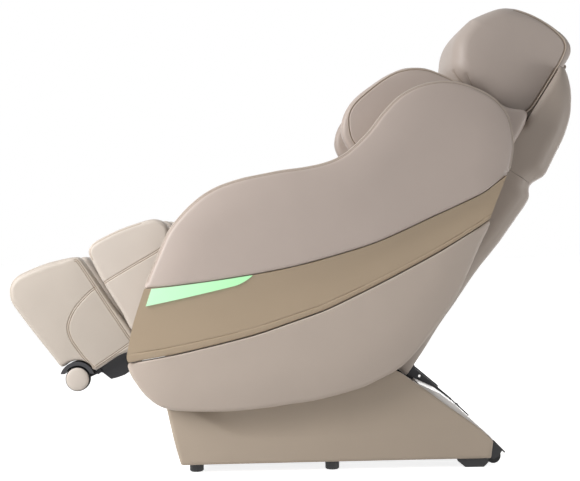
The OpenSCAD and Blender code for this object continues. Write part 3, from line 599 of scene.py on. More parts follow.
def puff(obj, give):
    """Blows a closed net up with Cloth. Points in its "held" group stay, and no other point moves
    further than give."""
    home = [v.co.copy() for v in obj.data.vertices]
    only(obj)
    bpy.ops.object.modifier_add(type="CLOTH")
    cloth = obj.modifiers[-1]
    cloth.settings.quality = 4
    cloth.settings.use_pressure = True
    cloth.settings.uniform_pressure_force = PRESSURE
    cloth.settings.effector_weights.gravity = 0
    if obj.vertex_groups:
        cloth.settings.vertex_group_mass = "held"
    cloth.point_cache.frame_start = 1
    cloth.point_cache.frame_end = PUFF_FRAMES
    for number in range(1, PUFF_FRAMES + 1):
        bpy.context.scene.frame_set(number)
    bpy.ops.object.modifier_apply(modifier=cloth.name)
    for vertex, start in zip(obj.data.vertices, home):
        move = vertex.co - start
        if move.length > 0:
            kept = give * MM * (1 - math.exp(-move.length / (give * MM)))
            vertex.co = start + move.normalized() * kept
    bpy.context.scene.frame_set(1)


def amount(value, y, z):
    """A measure that may be one number, or a function of the place."""
    return value(y, z) if callable(value) else value


def round_sides(obj, rim, x_in, x_out, round_in, round_out):
    """Draws both sides of a block in towards its outline, each as a quarter round."""
    for vertex in obj.data.vertices:
        y, z = side_of(vertex.co)
        far = distance_to(rim, (y, z))
        in_by, out_by = amount(round_in, y, z), amount(round_out, y, z)
        low = x_in + roundover(far, in_by, max(in_by, 0.1))
        high = x_out - roundover(far, out_by, max(out_by, 0.1))
        share = (vertex.co.x / MM - x_in) / (x_out - x_in)
        vertex.co.x = (low + share * (high - low)) * MM


def hold_rim(obj, rim, band, fade):
    """Marks the points near the outline as held, and lets go towards the middle of the sides."""
    held = obj.vertex_groups.new(name="held")
    for vertex in obj.data.vertices:
        free = (distance_to(rim, side_of(vertex.co)) - band) / fade
        held.add([vertex.index], 1 - limited(free), "REPLACE")


def soft_block(name, outline, x_in, x_out, round_in, round_out, cell, give, relax=2, flat_in=True,
               tight=None):
    """Foam under leather: an outline between two sides, rounded, puffed and made fine. Where it is
    upholstered tight, its rim is held for a distance given by tight and only its sides swell."""
    obj = slab(name, outline, x_in, x_out)
    rim = tree_of(outline + outline[:1])
    remesh(obj, cell)
    round_sides(obj, rim, x_in, x_out, round_in, round_out)
    remesh(obj, cell)
    modify(obj, "SMOOTH", factor=0.5, iterations=relax)
    if tight:
        hold_rim(obj, rim, tight, 25)
        puff(obj, give)
        obj.vertex_groups.clear()
    else:
        modify(obj, "DISPLACE", strength=-SINK * MM, mid_level=0)
        puff(obj, give + SINK)
    modify(obj, "SMOOTH", factor=0.5, iterations=2)
    if flat_in:
        for vertex in obj.data.vertices:
            vertex.co.x = max(vertex.co.x, x_in * MM)
    modify(obj, "SUBSURF", levels=1, render_levels=1)
    only(obj)
    bpy.ops.object.shade_smooth()
    return obj


# %% [markdown]
# ## Sewn lines
# A seam pulls the leather down to the foam, so a seam is a narrow groove along a line in the side
# view, cut into a net that is made finer there first. The groove's leather is also darkened, which
# is painted shade. A welt is a thin leather cord that stands in such a groove. Both follow the
# surface, which is found by shooting a ray at it from the side.

# %% Seams and welts


def seam(obj, line, depth, width, dark, side=1, cuts=1):
    """Presses a groove into the faces that look to the side, along a side-view line, and darkens
    the groove with painted shade through the "crease" attribute.
    """
    tree = tree_of(line)
    with editing(obj) as bm:
        select_where(bm, lambda f: f.normal.x * side > 0.15
                     and distance_to(tree, side_of(f.calc_center_median())) < 2.2 * width + 1)
        bpy.ops.mesh.subdivide(number_cuts=cuts)
    mesh = obj.data
    # The crease attribute is painted shade: it darkens the leather along the groove.
    crease = mesh.attributes.get("crease") or mesh.attributes.new("crease", "FLOAT", "POINT")
    normals = [v.normal.copy() for v in mesh.vertices]
    for vertex, normal in zip(mesh.vertices, normals):
        if normal.x * side > 0.1:
            far = distance_to(tree, side_of(vertex.co))
            if far < 3 * width:
                vertex.co -= normal * depth * MM * math.exp(-(far / width) ** 2)
                # Painted shade, darkest at the bottom of the groove.
                crease.data[vertex.index].value = max(
                    crease.data[vertex.index].value, math.exp(-(far / dark) ** 2))


def double_seam(obj, line):
    """Two rows of stitches with a flat strip between them, which is a flat-felled seam. Each row
    is a groove darkened with painted shade.
    """
    for by, cuts in ((-2.3, 2), (2.3, 1)):
        seam(obj, shifted(line, by), 1.3, 1.5, 1.1, cuts=cuts)


def on_surface(obj, line, lift, side):
    """The points of the surface that a side-view line covers, lifted off it by a little."""
    tree = BVHTree.FromObject(obj, bpy.context.evaluated_depsgraph_get())
    points = []
    for p in line:
        start = Vector((side, p.x * MM, p.y * MM))
        hit, normal = tree.ray_cast(start, Vector((-side, 0, 0)))[:2]
        if hit:
            points.append(hit + normal * lift * MM)
    return points


def cord(name, points, radius):
    """A thin round cord through points in space, made a mesh."""
    curve = bpy.data.curves.new(name, "CURVE")
    curve.dimensions = "3D"
    curve.bevel_depth = radius * MM
    curve.bevel_resolution = 3
    curve.use_fill_caps = True
    spline = curve.splines.new("POLY")
    spline.points.add(len(points) - 1)
    for knot, p in zip(spline.points, points):
        knot.co = (*p, 1)
    obj = bpy.data.objects.new(name, curve)
    bpy.context.collection.objects.link(obj)
    only(obj)
    bpy.ops.object.convert(target="MESH")
    obj = bpy.context.object
    smooth(obj, 60)
    return obj


def welt(name, obj, line, radius, lift, side=1):
    return cord(name, on_surface(obj, line, lift, side), radius)


# %% [markdown]
# ## The camera
# The chair is seen square from its left side, from about seat height, with a longish lens so that
# its side stays undistorted. The camera is tipped by one degree, as a hand-held one would be.

# %% Camera
bpy.ops.object.camera_add(location=(3.4, -0.0118, 0.5894),
                          rotation=(math.radians(90), 0, math.radians(90)))
camera = made("Camera")
camera.data.lens = 75
camera.data.sensor_width = 36
camera.rotation_euler.rotate_axis("Z", math.radians(-1.0))
bpy.context.scene.camera = camera
print("camera at", tuple(round(c, 3) for c in camera.location))

# %% [markdown]
# ## The arm shells
# Each arm has a hard shell in three sweeping parts: a padded upper panel, a lacquered band that
# runs from the front up to the back, and a lower panel that follows the base. They are skins
# between shared lines, so the gaps between them stay even. Modelling them as skins instead of
# carved blocks lets the surface fall away towards each rim, which is what catches the light.

# %% The lines of an arm
SHELL_IN, HALF_W = span_of("arm_upper_left")
UPPER_RIM = smooth_line([
    (-379, 482), (-367, 512), (-353, 544), (-337, 580), (-322, 612), (-305, 637), (-285, 660),
    (-264, 681), (-243, 699), (-221, 714), (-194, 728), (-164, 739), (-128, 749), (-87, 757),
    (-29, 767), (29, 774), (78, 784), (118, 800), (152, 825), (190, 862), (230, 912), (272, 951),
    (318, 974), (370, 984), (420, 980), (470, 962), (512, 935), (540, 899), (552, 858), (555, 812),
    (546, 762), (538, 750)])
UPPER_SILL = smooth_line([(-376, 476), (-304, 482), (-163, 499), (-21, 522), (98, 551), (210, 585),
                          (339, 641), (462, 696), (501, 721), (533, 744)])
BAND_SILL = smooth_line([
    (-421, 291), (-378, 298), (-307, 310), (-236, 325), (-166, 341), (-95, 359), (-24, 382),
    (56, 409), (96, 425), (186, 467), (277, 512), (368, 560), (458, 614), (489, 635)])
BAND_FRONT = smooth_line([(-421, 291), (-425, 303), (-421, 328), (-408, 388), (-380, 470),
                          (-377, 475)])
LOWER_RIM = smooth_line([
    (-425, 281), (-419, 261), (-404, 236), (-386, 211), (-365, 191), (-345, 178), (-318, 169),
    (-283, 165), (-239, 163), (-169, 163), (-98, 168), (-27, 177), (52, 188), (151, 213),
    (204, 235), (255, 262), (291, 294), (330, 340), (370, 392), (410, 452), (440, 514), (466, 571),
    (484, 606), (491, 622)])
print("arm shell from", round(SHELL_IN), "to", round(HALF_W), "mm")

# %% Upper panel
rim_tree, sill_tree = tree_of(UPPER_RIM), tree_of(UPPER_SILL)


def upper_skin(y, z):
    rim, sill = distance_to(rim_tree, (y, z)), distance_to(sill_tree, (y, z))
    return HALF_W - fall(rim, 12, 95) - roundover(rim, 12, 15) - roundover(sill, 4, 8)


arm_upper = panel("arm_upper_skin_left", UPPER_SILL, UPPER_RIM, SHELL_IN, upper_skin, 190, 46)
smooth(arm_upper, 50)
upper_welt = welt("arm_upper_welt_left", arm_upper, shifted(UPPER_RIM, -3)[2:-2], 1.1, 0.3)
seam(arm_upper, shifted(UPPER_RIM, -6)[3:-3], depth=0.8, width=1.6, dark=0.8)

# %% [markdown]
# The band is thinner than the panels it separates. A crease runs along it a little above its lower
# edge, and above the crease the surface is gently hollow, so that it reads as one long curve of
# light. The rows of the net are laid along the crease, which keeps it crisp.

# %% Band
band_high = [p - Vector((0, 2.0)) for p in UPPER_SILL]
band_top_tree, band_sill_tree = tree_of(band_high), tree_of(BAND_SILL)


def crease_at(y):
    """Distance of the crease from the band's lower edge, less towards the rear."""
    return 19 - 11 * limited((y + 421) / 910)


def band_rows(width, rows, low_point):
    """Rows below the crease, then rows above it."""
    crease = min(crease_at(low_point.x), 0.4 * width)
    under = rows // 4
    return (even_ends(crease, under)[:-1]
            + [crease + d for d in even_ends(width - crease, rows - under)])


def band_skin(y, z):
    sill, top = distance_to(band_sill_tree, (y, z)), distance_to(band_top_tree, (y, z))
    above = sill - crease_at(y)
    outer = HALF_W - 4.5
    groove = 1.8 * math.exp(-(above / 1.4) ** 2)
    if above < 0:
        return outer + 0.8 - groove - roundover(sill, 2.5, 4)
    u = above / max(above + top, 1)
    hollow = 5.0 * math.sin(math.pi * limited(u)) ** 1.2
    return outer - groove - hollow - roundover(top, 2.0, 4)


arm_band = panel("arm_band_skin_left", BAND_SILL, band_high, SHELL_IN, band_skin, 190, 36,
                 across=band_rows, front=BAND_FRONT)
smooth(arm_band, 40)

# %% Lower panel
lower_high = [p - Vector((1.0, 3.5)) for p in BAND_SILL]
lower_rim_tree, lower_high_tree = tree_of(LOWER_RIM), tree_of(lower_high)


def lower_skin(y, z):
    rim, top = distance_to(lower_rim_tree, (y, z)), distance_to(lower_high_tree, (y, z))
    return HALF_W - fall(rim, 15, 95) - roundover(rim, 8, 11) - roundover(top, 2.5, 5)


arm_lower = panel("arm_lower_skin_left", LOWER_RIM, lower_high, SHELL_IN, lower_skin, 190, 40)
smooth(arm_lower, 45)

# %% Light strip
STRIP = (smooth_line([(-375, 431), (-304, 445), (-233, 460), (-170, 474), (-143, 481), (-122, 492),
                      (-106, 504)], 6)
         + list(reversed([p - Vector((0, 2.5)) for p in UPPER_SILL if -362 < p.x < -112])))
arm_light = slab("arm_light_diffuser_left", STRIP, HALF_W - 9, HALF_W - 2.0)
round_rim(arm_light, HALF_W - 2.0, 1.5, 2)
smooth(arm_light)

# %% Both arms
for suffix, (upper, edge, band, lower, light) in both_sides(arm_upper, upper_welt, arm_band,
                                                            arm_lower, arm_light):
    place(upper, "seat", PANEL_LEATHER, (f"arm_upper_{suffix}",))
    place(edge, "seat", PIPING)
    place(band, "seat", BAND_LACQUER, (f"arm_band_{suffix}",))
    place(lower, "seat", LOWER_LEATHER, (f"arm_lower_{suffix}",))
    place(light, "seat", GREEN_GLOW, (f"arm_light_{suffix}",))

# %% [markdown]
# Behind the shells each arm is a block of foam on a board, covered in leather. Its rim shows from
# the seat, and a narrow cushion lies on it for the forearm.

# %% Arm cores and forearm cushions
ARM_IN = span_of("arm_core_left")[0]
CORE = smooth_ring([
    (-396, 330), (-384, 400), (-366, 470), (-318, 598), (-284, 640), (-222, 666), (-144, 690),
    (-60, 704), (60, 718), (100, 758), (140, 802), (190, 848), (230, 895), (275, 934), (320, 956),
    (370, 966), (418, 962), (462, 946), (500, 920), (524, 888), (536, 853), (538, 812), (528, 772),
    (486, 706), (470, 640), (430, 556), (360, 455), (270, 374), (160, 332), (0, 329),
    (-200, 329)], 8)
arm_core = soft_block("arm_core_cover_left", CORE, ARM_IN + 2, SHELL_IN - 1, 12, 0, cell=8.5,
                      relax=3, give=5)
PAD = smooth_ring([(-280, 644), (-266, 666), (-218, 692), (-144, 716), (-60, 730), (40, 737),
                   (53, 726), (53, 716), (40, 710), (-60, 701), (-144, 687), (-222, 663),
                   (-272, 640)], 5)
arm_pad = soft_block("arm_pad_cover_left", PAD, ARM_IN + 2, SHELL_IN - 1, 9, 4, cell=4, relax=3,
                     give=4)
padded_pair(arm_core, "seat", LEATHER)
padded_pair(arm_pad, "seat", LEATHER)

# %% [markdown]
# ## The leg rest
# The leg rest is two padded blocks. The calf block swings at the front of the seat, and the foot
# block slides out of it. Each has two outer walls, a divider and a bed, all foam under leather, and
# the outer walls carry the seams that show. They are drawn in the leg rest's own little frame.

# %% Leg rest walls
WALL_IN, LEG_HALF = span_of("calf_wall_left")
CALF = [(-34, -8), (-27, 40), (-12, 88), (8, 130), (31, 170), (31, 191), (21, 208), (6, 219),
        (-24, 229), (-56, 238), (-89, 245), (-124, 250), (-151, 252), (-168, 248), (-180, 238),
        (-184, 215), (-191, 150), (-194, 60), (-194, -6), (-110, -8)]
FOOT = [(-204, -29), (-204, 100), (-204, 222), (-209, 243), (-225, 253), (-254, 265), (-292, 278),
        (-344, 289), (-372, 291), (-394, 284), (-410, 268), (-420, 243), (-420, 209), (-417, 154),
        (-413, 99), (-408, 47), (-405, 26), (-387, 27), (-368, 23), (-352, 13), (-342, -2),
        (-338, -16), (-337, -29), (-270, -30)]


def foot_round(y, z):
    """The foot block has soft edges in front and on top, and a sewn edge at its rear and foot."""
    at = leg_point(y, z)
    return 5 + 10 * limited(min((-222 - at.x) / 30, (at.y - 20) / 60))


calf_wall = soft_block("calf_wall_cover_left", in_leg(smooth_ring(CALF, 5)), WALL_IN, LEG_HALF - 1,
                       4, 12, cell=4.5, give=5, tight=6)
foot_wall = soft_block("foot_wall_cover_left", in_leg(smooth_ring(FOOT, 5)), WALL_IN, LEG_HALF - 1,
                       4, foot_round, cell=4.5, give=5, tight=6)

# %% Leg rest seams
calf_seam = in_leg(smooth_line([(-192, 148), (-145, 146), (-94, 143), (-48, 140), (14, 138)], 3))
calf_edge = in_leg(smooth_line([(-20, 223), (-56, 233), (-88, 240), (-124, 245), (-150, 247),
                                (-165, 243), (-175, 234), (-179, 214)], 3))
foot_rear = in_leg(smooth_line([(-214, -20), (-214, 100), (-213, 222), (-219, 240)], 3))
foot_bow = in_leg(smooth_line([(-214, 150), (-231, 149), (-260, 143), (-289, 134), (-314, 120),
                               (-330, 105), (-338, 88), (-342, 68), (-342, 45), (-340, 10),
                               (-333, -22)], 3))
foot_hem = in_leg(smooth_line([(-328, -22), (-280, -22), (-218, -21)], 3))
double_seam(calf_wall, calf_seam)
seam(calf_wall, calf_edge, depth=0.9, width=1.6, dark=0.9)
for line in (foot_rear, foot_bow, foot_hem):
    double_seam(foot_wall, line)
padded_pair(calf_wall, "leg", LEATHER)
padded_pair(foot_wall, "foot", FOOT_LEATHER)

# %% Dividers and beds
DIV = span_of("calf_divider")[1]
calf_mid = soft_block("calf_divider_cover", in_leg(smooth_ring(
    [(p[0], min(p[1], 214)) for p in CALF], 6)), -DIV, DIV, 8, 8, cell=6.5, give=4, flat_in=False,
    tight=5)
foot_mid = soft_block("foot_divider_cover", in_leg(smooth_ring(
    [(min(p[0], -218), min(p[1], 259)) for p in FOOT], 6)), -DIV, DIV, 8, 8, cell=6.5, give=4,
    flat_in=False, tight=5)
place(calf_mid, "leg", LEATHER, ("calf_divider",))
place(foot_mid, "foot", LEATHER, ("foot_divider",))


def bed(name, body, *outlines):
    """A bed fills the room between the divider and each wall, in one or more blocks, in the darker
    leather that paints shade into the recess.
    """
    rooms = (DIV, WALL_IN), (-WALL_IN, -DIV)
    blocks = [soft_block(f"{name}_{k}", in_leg(smooth_ring(points, 6)), x0, x1, 4, 4, cell=7,
                         relax=3, give=3, flat_in=False)
              for k, (points, (x0, x1)) in enumerate(product(outlines, rooms))]
    return place(joined(f"{name}_cover", *blocks), body, SHADED_LEATHER, (name,))


calf_bed = bed("calf_bed", "leg",
               [(-37, -7), (-37, 30), (-40, 62), (-58, 82), (-100, 90), (-150, 87), (-176, 91),
                (-189, 88), (-189, 40), (-189, -7), (-110, -7)])
foot_bed = bed("foot_bed", "foot",
               [(-399, 32), (-386, 28), (-374, 34), (-373, 140), (-373, 240), (-380, 259),
                (-395, 259), (-406, 238), (-402, 130)],
               [(-369, 18), (-369, -3), (-341, -28), (-280, -29), (-220, -28), (-220, 16),
                (-240, 28), (-290, 28), (-340, 28)])

# %% [markdown]
# ## Seat, back and pillow
# The seat cushion and the back pad lie between the arms, the two shoulder wings stand beside the
# back pad, and the head pillow hangs over its top. The pillow is the softest piece, so it swells
# the most. Two short folds gather its cover where it turns under the head.

# %% Seat cushion and back pad
SEAT_HALF, WING_IN = span_of("seat_cushion")[1], span_of("back_side_left")[0]
in_seat = turned(KNEE, -math.radians(20))
SEAT = [(356, 39), (366, 56), (367, 86), (348, 114), (300, 118), (240, 121), (150, 127),
        (80, 129), (38, 124), (16, 108), (9, 82), (12, 54), (28, 39), (190, 39)]
seat_cushion = soft_block("seat_cushion_cover", in_seat(smooth_ring(SEAT, 8)), 3 - SEAT_HALF,
                          SEAT_HALF - 3, 16, 16, cell=9, relax=4, give=12, flat_in=False)
BACK = [(-95, 588), (-95, 320), (-95, 50), (-101, 36), (-112, 32), (-123, 42), (-133, 80),
        (-139, 200), (-133, 320), (-127, 440), (-129, 540), (-125, 578), (-112, 592)]
back_pad = soft_block("back_pad_cover", in_back(smooth_ring(BACK, 7)), 1 - WING_IN, WING_IN - 1,
                      6, 6, cell=10, relax=3, give=6, flat_in=False)
place(seat_cushion, "seat", LEATHER, ("seat_cushion",))
# The back pad lies between the wings and gets the darker leather as painted shade.
place(back_pad, "back", SHADED_LEATHER, ("back_pad",))

# %% Shoulder wings
WING = [(62, -48), (80, 0), (87, 40), (87, 300), (87, 598), (20, 603), (-100, 592), (-153, 588),
        (-209, 577), (-254, 550), (-280, 517), (-295, 490), (-306, 464), (-316, 440), (-324, 414),
        (-328, 386), (-324, 352), (-306, 316), (-268, 291), (-202, 262), (-162, 200), (-150, 120),
        (-140, 62), (-108, 24), (-42, -16), (20, -44)]
back_wing = soft_block("back_side_cover_left", in_back(smooth_ring(WING, 6)), WING_IN,
                       SEAT_HALF - 2, 10, 12, cell=6, give=7, tight=6)
wing_edge = in_back(smooth_line([
    (-238, 300), (-258, 310), (-273, 317), (-288, 330), (-303, 349), (-313, 368), (-316, 389),
    (-312, 415), (-301, 450), (-288, 485), (-271, 518), (-250, 543), (-226, 561), (-200, 573),
    (-180, 578), (-156, 582), (-120, 586)], 3))
seam(back_wing, wing_edge, depth=1.6, width=1.9, dark=1.2, cuts=2)
wing_welt = welt("back_side_welt_left", back_wing, shifted(wing_edge, 2.2)[2:-2], 1.0, 0.2)
padded_pair(back_wing, "back", PANEL_LEATHER)
for _, (edge,) in list(both_sides(wing_welt)):
    place(edge, "back", PIPING)

# %% Head pillow
PILLOW = [(46, 596), (72, 597), (91, 609), (100, 630), (103, 660), (103, 700), (103, 732),
          (103, 800), (101, 828), (91, 845), (66, 859), (30, 866), (-10, 869), (-50, 867),
          (-86, 859), (-120, 841), (-146, 811), (-164, 785), (-184, 752), (-198, 720), (-202, 694),
          (-199, 668), (-190, 646), (-174, 630), (-146, 616), (-110, 607), (-30, 601)]
PILLOW_HALF = span_of("head_pillow")[1]


def pillow_round(y, z):
    """The pillow is full towards the head and flat along its sewn rear edge."""
    return 42 - 35 * limited((back_point(y, z).x + 70) / 150)


pillow = soft_block("head_pillow_cover", in_back(smooth_ring(PILLOW, 7)), 2 - PILLOW_HALF,
                    PILLOW_HALF - 2, pillow_round, pillow_round, cell=6, give=9, flat_in=False,
                    tight=10)
# Its low end under the head is drawn up along the back, and its two ends more than its middle.
TUCK, MORE_TUCK = 20, 36
for vertex in pillow.data.vertices:
    at = back_point(*side_of(vertex.co))
    low, near_head = limited((770 - at.y) / 110), limited((60 - at.x) / 200)
    outwards = limited(abs(vertex.co.x / MM) / PILLOW_HALF)
    tuck = low * near_head * (TUCK + MORE_TUCK * (1 - math.sqrt(1 - outwards ** 2)))
    vertex.co += Vector((0, math.cos(BACK_LEAN), -math.sin(BACK_LEAN))) * tuck * MM
pillow_edge = in_back(smooth_line([(-90, 849), (-50, 857), (-10, 859), (30, 855), (60, 847),
                                   (77, 832), (84, 800), (86, 736), (86, 662), (82, 638), (72, 621),
                                   (58, 612), (40, 609), (0, 609)], 3))
folds = [in_back(smooth_line(line, 4)) for line in (
    [(-138, 628), (-122, 620), (-100, 613), (-84, 608)],
    [(-106, 634), (-93, 626), (-78, 617), (-66, 611)])]
# The pillow's seam and folds are grooves that also get painted shade.
for side in (1, -1):
    seam(pillow, pillow_edge, depth=1.8, width=2.4, dark=1.7, side=side, cuts=2)
    for fold in folds:
        seam(pillow, fold, depth=2.0, width=4.0, dark=0.6, side=side)
pillow_welts = [welt(f"head_pillow_welt_{suffix}", pillow, shifted(pillow_edge, 3.4)[2:-2], 1.3,
                     0.3, side) for suffix, side in (("left", 1), ("right", -1))]
place(pillow, "pillow", PILLOW_LEATHER)
for edge in pillow_welts:
    place(edge, "pillow", PIPING)

# %% [markdown]
# The pillow hangs on two steel tabs with a pin through them. The tabs are part of the same solid in
# the model, so they are cut from a copy of it, and the soft piece stands for the rest.

# %% Pillow tabs


def cut_off(obj, at, towards, fill=False):
    """Cuts away what lies beyond a place in the back's frame, in one of its directions."""
    plane, ahead = in_back([Vector(at), Vector(at) + Vector(towards)])
    with editing(obj):
        all_selected()
        bpy.ops.mesh.bisect(plane_co=(0, plane.x * MM, plane.y * MM),
                            plane_no=(0, *(ahead - plane)), clear_outer=True, use_fill=fill)


def part_of(node, name, at, towards):
    """A copy of a model node, without what lies beyond a place in the back's frame."""
    only(frame["nodes"][node])
    bpy.ops.object.duplicate()
    copy = made(name)
    with editing(copy):
        all_selected()
        bpy.ops.mesh.remove_doubles(threshold=0.00001)
    cut_off(copy, at, towards, fill=True)
    copy.data.materials.clear()
    smooth(copy, 40)
    return copy


tabs = part_of("head_pillow", "head_pillow_tabs", (104, 808), (-1, 0))
place(tabs, "pillow", DARK_STEEL, ("head_pillow",))
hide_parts("head_pillow")

# %% [markdown]
# ## The hard back
# The back is closed by two moulded shells, one above the other, with wide rounded corners. Each is
# a slab whose long rear edges are rounded, opened where it meets the frame, and then given a wall.
# The lower one has two slots at its foot for the stays that carry the seat.

# %% Back shells
SHELL_HALF = span_of("back_shell_upper")[1]
CORNER, SHELL_WALL, SHELL_NET = 46, 4, 6  # corner radius, wall and net of a shell
OPEN_AT = 88  # where the shells open towards the frame
HEM = 84      # the upper shell is drawn in towards this line, so that its edge tucks in


def shell(name, front, rear):
    """A moulded shell in the back's frame: front is its open side, rear its rounded side."""
    rear_line = smooth_line(rear, 5)
    obj = slab(name, in_back([Vector(p) for p in front] + rear_line), -SHELL_HALF, SHELL_HALF)
    remesh(obj, SHELL_NET)
    round_sides(obj, tree_of(in_back(rear_line)), -SHELL_HALF, SHELL_HALF, CORNER, CORNER)
    remesh(obj, SHELL_NET)
    modify(obj, "SMOOTH", factor=0.5, iterations=3)
    return obj


def opens_forward(face):
    """Whether a face of the upper shell closes its front, which stays open for the pillow."""
    middle = face.calc_center_median()
    return (back_point(*side_of(middle)).x < 104
            and abs(middle.x) < 0.88 * SHELL_HALF * MM
            and (Matrix.Rotation(BACK_LEAN, 2) @ face.normal.yz).x < -0.5)


upper_shell = shell("back_shell_upper_skin", [(HEM, 776), (HEM, 640), (80, 600), (80, 450)],
                    [(190, 450), (191, 474), (200, 492), (208, 508), (208, 530), (206, 547),
                     (203, 576), (199, 617), (192, 650), (182, 681), (167, 710), (150, 736),
                     (128, 760), (106, 778)])
round_sides(upper_shell, tree_of(in_back([Vector((HEM, 800)), Vector((HEM, 590))])),
            -SHELL_HALF, SHELL_HALF, 24, 24)
cut_off(upper_shell, (OPEN_AT, 600), (-1, 0))
cut_off(upper_shell, (OPEN_AT, 468), (0, -1))
lower_shell = shell("back_shell_lower_skin", [(190, 482), (80, 482), (80, -60), (94, -104),
                                              (120, -125)],
                    [(180, -132), (182, -60), (182, 30), (186, 100), (188, 170), (192, 223),
                     (197, 264), (201, 303), (203, 341), (205, 380), (207, 415), (206, 436),
                     (200, 449), (191, 458), (190, 480)])
cut_off(lower_shell, (OPEN_AT, 0), (-1, 0))
cut_off(lower_shell, (OPEN_AT, 467.2), (0, 1))
with editing(upper_shell) as bm:
    select_where(bm, opens_forward)
    bpy.ops.mesh.delete(type="FACE")

# %% Slots for the stays
SLOT_IN, SLOT_OUT, SLOT_TOP = 134, 174, 40
with editing(lower_shell) as bm:
    for x in (-SLOT_OUT, -SLOT_IN, SLOT_IN, SLOT_OUT):
        all_selected()
        bpy.ops.mesh.bisect(plane_co=(x * MM, 0, 0), plane_no=(1, 0, 0))
    top = in_back([Vector((0, SLOT_TOP))])[0] * MM
    all_selected()
    bpy.ops.mesh.bisect(plane_co=(0, top.x, top.y),
                        plane_no=(0, math.sin(BACK_LEAN), math.cos(BACK_LEAN)))
    bpy.ops.mesh.select_all(action="DESELECT")
    select_where(bm, lambda f: SLOT_IN < abs(f.calc_center_median().x) / MM < SLOT_OUT
                 and back_point(*side_of(f.calc_center_median())).y < SLOT_TOP)
    bpy.ops.mesh.delete(type="FACE")

# %% Shell walls
for obj in (upper_shell, lower_shell):
    modify(obj, "SOLIDIFY", thickness=SHELL_WALL * MM, offset=-1)
    smooth(obj, 45)
place(lower_shell, "back", SHELL_PLASTIC, ("back_shell_lower",))

# %% Lugs of the pillow hinge
lugs = part_of("back_shell_upper", "back_shell_lugs", (112, 776), (0, -1))
place(lugs, "back", SHELL_PLASTIC)
place(upper_shell, "back", SHELL_PLASTIC, ("back_shell_upper",))

# %% [markdown]
# ## The base
# The base hides behind two moulded side covers. Each has one long scoop that starts deep at the
# top of the front and runs out towards the rear, above a soft crease. It is a skin between the
# bottom edge and the top edge, and the scoop is the distance above the crease, pressed in smoothly.

# %% Base covers
COVER_IN, COVER_OUT = span_of("base_cover_left")
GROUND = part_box("base_cover_left")[0].z / MM
COVER_LOW = smooth_line([(-299, GROUND), (0, GROUND + 1), (493, GROUND + 2)], 6)
COVER_TOP = smooth_line([(-341, 205), (-200, 208), (0, 212), (100, 216), (180, 240), (235, 255),
                         (262, 248), (283, 234), (332, 199), (380, 162), (445, 115), (480, 88),
                         (499, 67)], 6)
COVER_FRONT = smooth_line([(-299, GROUND), (-312, 70), (-324, 122), (-341, 205)], 6)
SCOOP = smooth_line([(-352, 214), (-306, 183), (-262, 155), (-221, 129), (-182, 107), (-150, 95),
                     (-110, 89), (-43, 87), (77, 91), (180, 99), (345, 115), (445, 122),
                     (500, 126)], 5)
scoop_tree, cover_low_tree = tree_of(SCOOP), tree_of(COVER_LOW)
cover_front_tree, cover_rear_tree = tree_of(COVER_FRONT), tree_of(
    [Vector((283, 234)), Vector((380, 162)), Vector((480, 88)), Vector((499, 67)),
     Vector((493, GROUND + 2))])


def scoop_height(y):
    """Height of the scoop's line at a place along the chair."""
    for a, b in zip(SCOOP, SCOOP[1:]):
        if a.x <= y <= b.x:
            return a.y + (b.y - a.y) * (y - a.x) / (b.x - a.x)
    return SCOOP[0].y if y < SCOOP[0].x else SCOOP[-1].y


def cover_skin(y, z):
    """The cover narrows by 16 mm towards the rear, and its scoop grows shallow there."""
    x = COVER_OUT - 16 * limited((y + 340) / 850)
    if z > scoop_height(y):
        deep = 15 - 12 * limited((y + 300) / 640)
        x -= deep * (1 - (1 - limited(distance_to(scoop_tree, (y, z)) / 46)) ** 2)
    x -= roundover(distance_to(cover_low_tree, (y, z)), 6, 9)
    x -= roundover(distance_to(cover_front_tree, (y, z)), 6, 9)
    x -= roundover(distance_to(cover_rear_tree, (y, z)), 5, 8)
    return max(x, COVER_IN + 3)


base_cover = panel("base_cover_skin_left", COVER_LOW, COVER_TOP, COVER_IN, cover_skin, 170, 54,
                   front=COVER_FRONT)
modify(base_cover, "SMOOTH", factor=0.5, iterations=1)
smooth(base_cover, 45)
for suffix, (cover,) in list(both_sides(base_cover)):
    place(cover, "base", COVER_PLASTIC, (f"base_cover_{suffix}",))

# %% [markdown]
# ## Rollers
# Two rollers under the foot block carry it when it touches the floor. Each is a dark tyre with a
# domed beige cap pressed into it. Both are turned parts, so each starts as a disc that is extruded
# ring by ring along its axle.

# %% Rollers


def turned_part(name, profile, centre):
    """A turned part along X. profile holds (x, radius) pairs, centre is its side-view place."""
    obj = disc(name, 56)
    rays = [Vector((0, v.co.x, v.co.y)).normalized() for v in obj.data.vertices]
    hub = Vector((0, centre.x, centre.y)) * MM

    def ring(vertices, x, radius):
        for vertex, ray in vertices:
            vertex.co = hub + Vector((x * MM, 0, 0)) + ray * radius * MM

    ring(zip(obj.data.vertices, rays), *profile[0])
    with editing(obj) as bm:
        all_selected()
        for x, radius in profile[1:]:
            extrude()
            chosen = [v for v in bm.verts if v.select]
            ring([(v, (Vector((0, v.co.y, v.co.z)) - hub).normalized()) for v in chosen], x, radius)
        face_outwards()
    smooth(obj, 35)
    return obj


